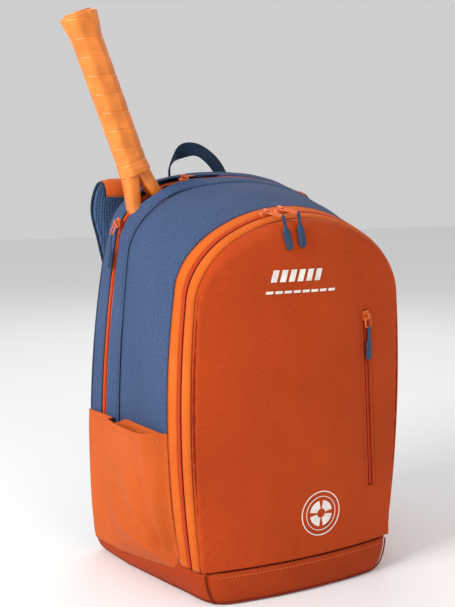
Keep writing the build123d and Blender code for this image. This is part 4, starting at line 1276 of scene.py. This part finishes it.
def grip_wrap():
    """Overgrip wound round the handle: each turn overlaps the last with a small step."""
    rows, around, turn_pitch = 420, 64, 0.022
    section = octagon(0.0345, 0.0305, 0.0090, around)
    facet = np.linalg.norm(section, axis=1)
    heights = np.linspace(-0.004, 0.191, rows)
    angle = np.arctan2(section[:, 1], section[:, 0]) / (2 * math.pi)
    rings, uvs = [], []
    for height in heights:
        phase = ((height / turn_pitch) - angle) % 1.0
        step = 0.00030 * phase - 0.0005 * np.exp(-((phase - 0.02) / 0.03) ** 2)
        flare = 0.0042 * float(smooth(height, 0.155, 0.190)) + 0.0012 * float(smooth(-height, -0.008, -0.002))
        top = math.sqrt(max(1 - max((height - 0.187) / 0.004, 0) ** 2, 0.55))
        ring = section * ((facet + step + flare) / facet)[:, None] * top
        rings.append([on_racket(a, -height, f) for a, f in ring])
        uvs.append([(a * 0.11, height) for a in angle])
    vertices = np.array(rings).reshape(-1, 3)
    index = np.arange(rows * around).reshape(rows, around)
    faces = ring_faces(index)
    faces += [index[0, ::-1].tolist(), index[-1].tolist()]
    uv = np.array(uvs).reshape(-1, 2)
    piece = finish_mesh("overgrip", vertices, faces, OVERGRIP, "racket", uv)
    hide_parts("grip_wrap", "butt_cap", "handle_pallet")


def grip_band():
    """The collar at the foot of the grip: a closed ring with a rounded outside."""
    around = 64
    band = octagon(0.0358, 0.0316, 0.0092, around)
    outside = ((-0.0055, 0.985), (-0.0045, 1.0), (0.003, 1.012), (0.0085, 1.0), (0.0100, 0.975))
    inside = ((0.0100, 0.90), (-0.0055, 0.90))
    loops = []
    for height, grow in outside + inside:
        loops.append([on_racket(a * grow, -height, f * grow) for a, f in band])
    vertices = np.array(loops).reshape(-1, 3)
    index = np.arange(len(vertices)).reshape(-1, around)
    faces = ring_faces(np.concatenate([index, index[:1]]))
    collar = finish_mesh("grip_band", vertices, faces, OVERGRIP, "racket")
    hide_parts("grip_collar")


racket_frame()
grip_wrap()
grip_band()


# ------------------------------------------------------------------ studio
LIGHTS = {
    "key": ((-1.9, -0.35, 1.3), 0.7, 38.0),
    "fill": ((0.2, -2.2, 1.3), 1.2, 9.0),
    "rim": ((0.9, 1.5, 1.6), 1.2, 8.0),
}
LIGHT_TARGET = Vector((0, 0, 0.25))
FLOOR_REACH = 6.0
EYE, YAW, PITCH, LENS = (-0.565, -0.984, 0.470), math.radians(28), math.radians(7.64), 56.34


def add_aimed(name, data, place, way):
    """Put a lamp or camera somewhere and point it along a direction."""
    holder = add_object(name, data)
    holder.location = place
    holder.rotation_euler = way.to_track_quat("-Z", "Y").to_euler()
    return holder


def floor():
    """The pale floor."""
    mesh = bpy.data.meshes.new("floor")
    corners = [(x * FLOOR_REACH, y * FLOOR_REACH, 0) for x, y in ((-1, -1), (1, -1), (1, 1), (-1, 1))]
    mesh.from_pydata(corners, [], [(0, 1, 2, 3)])
    material, shader = new_material("pale_floor")
    set_inputs(shader, {"Base Color": (0.90, 0.90, 0.90, 1), "Roughness": 0.9})
    mesh.materials.append(material)
    add_object("floor", mesh)


def studio():
    """Floor, white surroundings, soft light from the left, and the camera."""
    floor()
    world = bpy.data.worlds.new("studio")
    world.use_nodes = True
    set_inputs(world.node_tree.nodes["Background"], {"Color": (1, 1, 1, 1), "Strength": 0.62})
    bpy.context.scene.world = world
    for name, (place, size, power) in LIGHTS.items():
        lamp = bpy.data.lights.new(name, "AREA")
        lamp.size = size
        lamp.energy = power
        add_aimed(name, lamp, place, LIGHT_TARGET - Vector(place))
    camera = bpy.data.cameras.new("camera")
    camera.lens = LENS
    aim = Vector((math.sin(YAW) * math.cos(PITCH), math.cos(YAW) * math.cos(PITCH), -math.sin(PITCH)))
    bpy.context.scene.camera = add_aimed("camera", camera, EYE, aim)
    bpy.context.scene.view_settings.view_transform = "Standard"


studio()

bpy.context.view_layer.update()
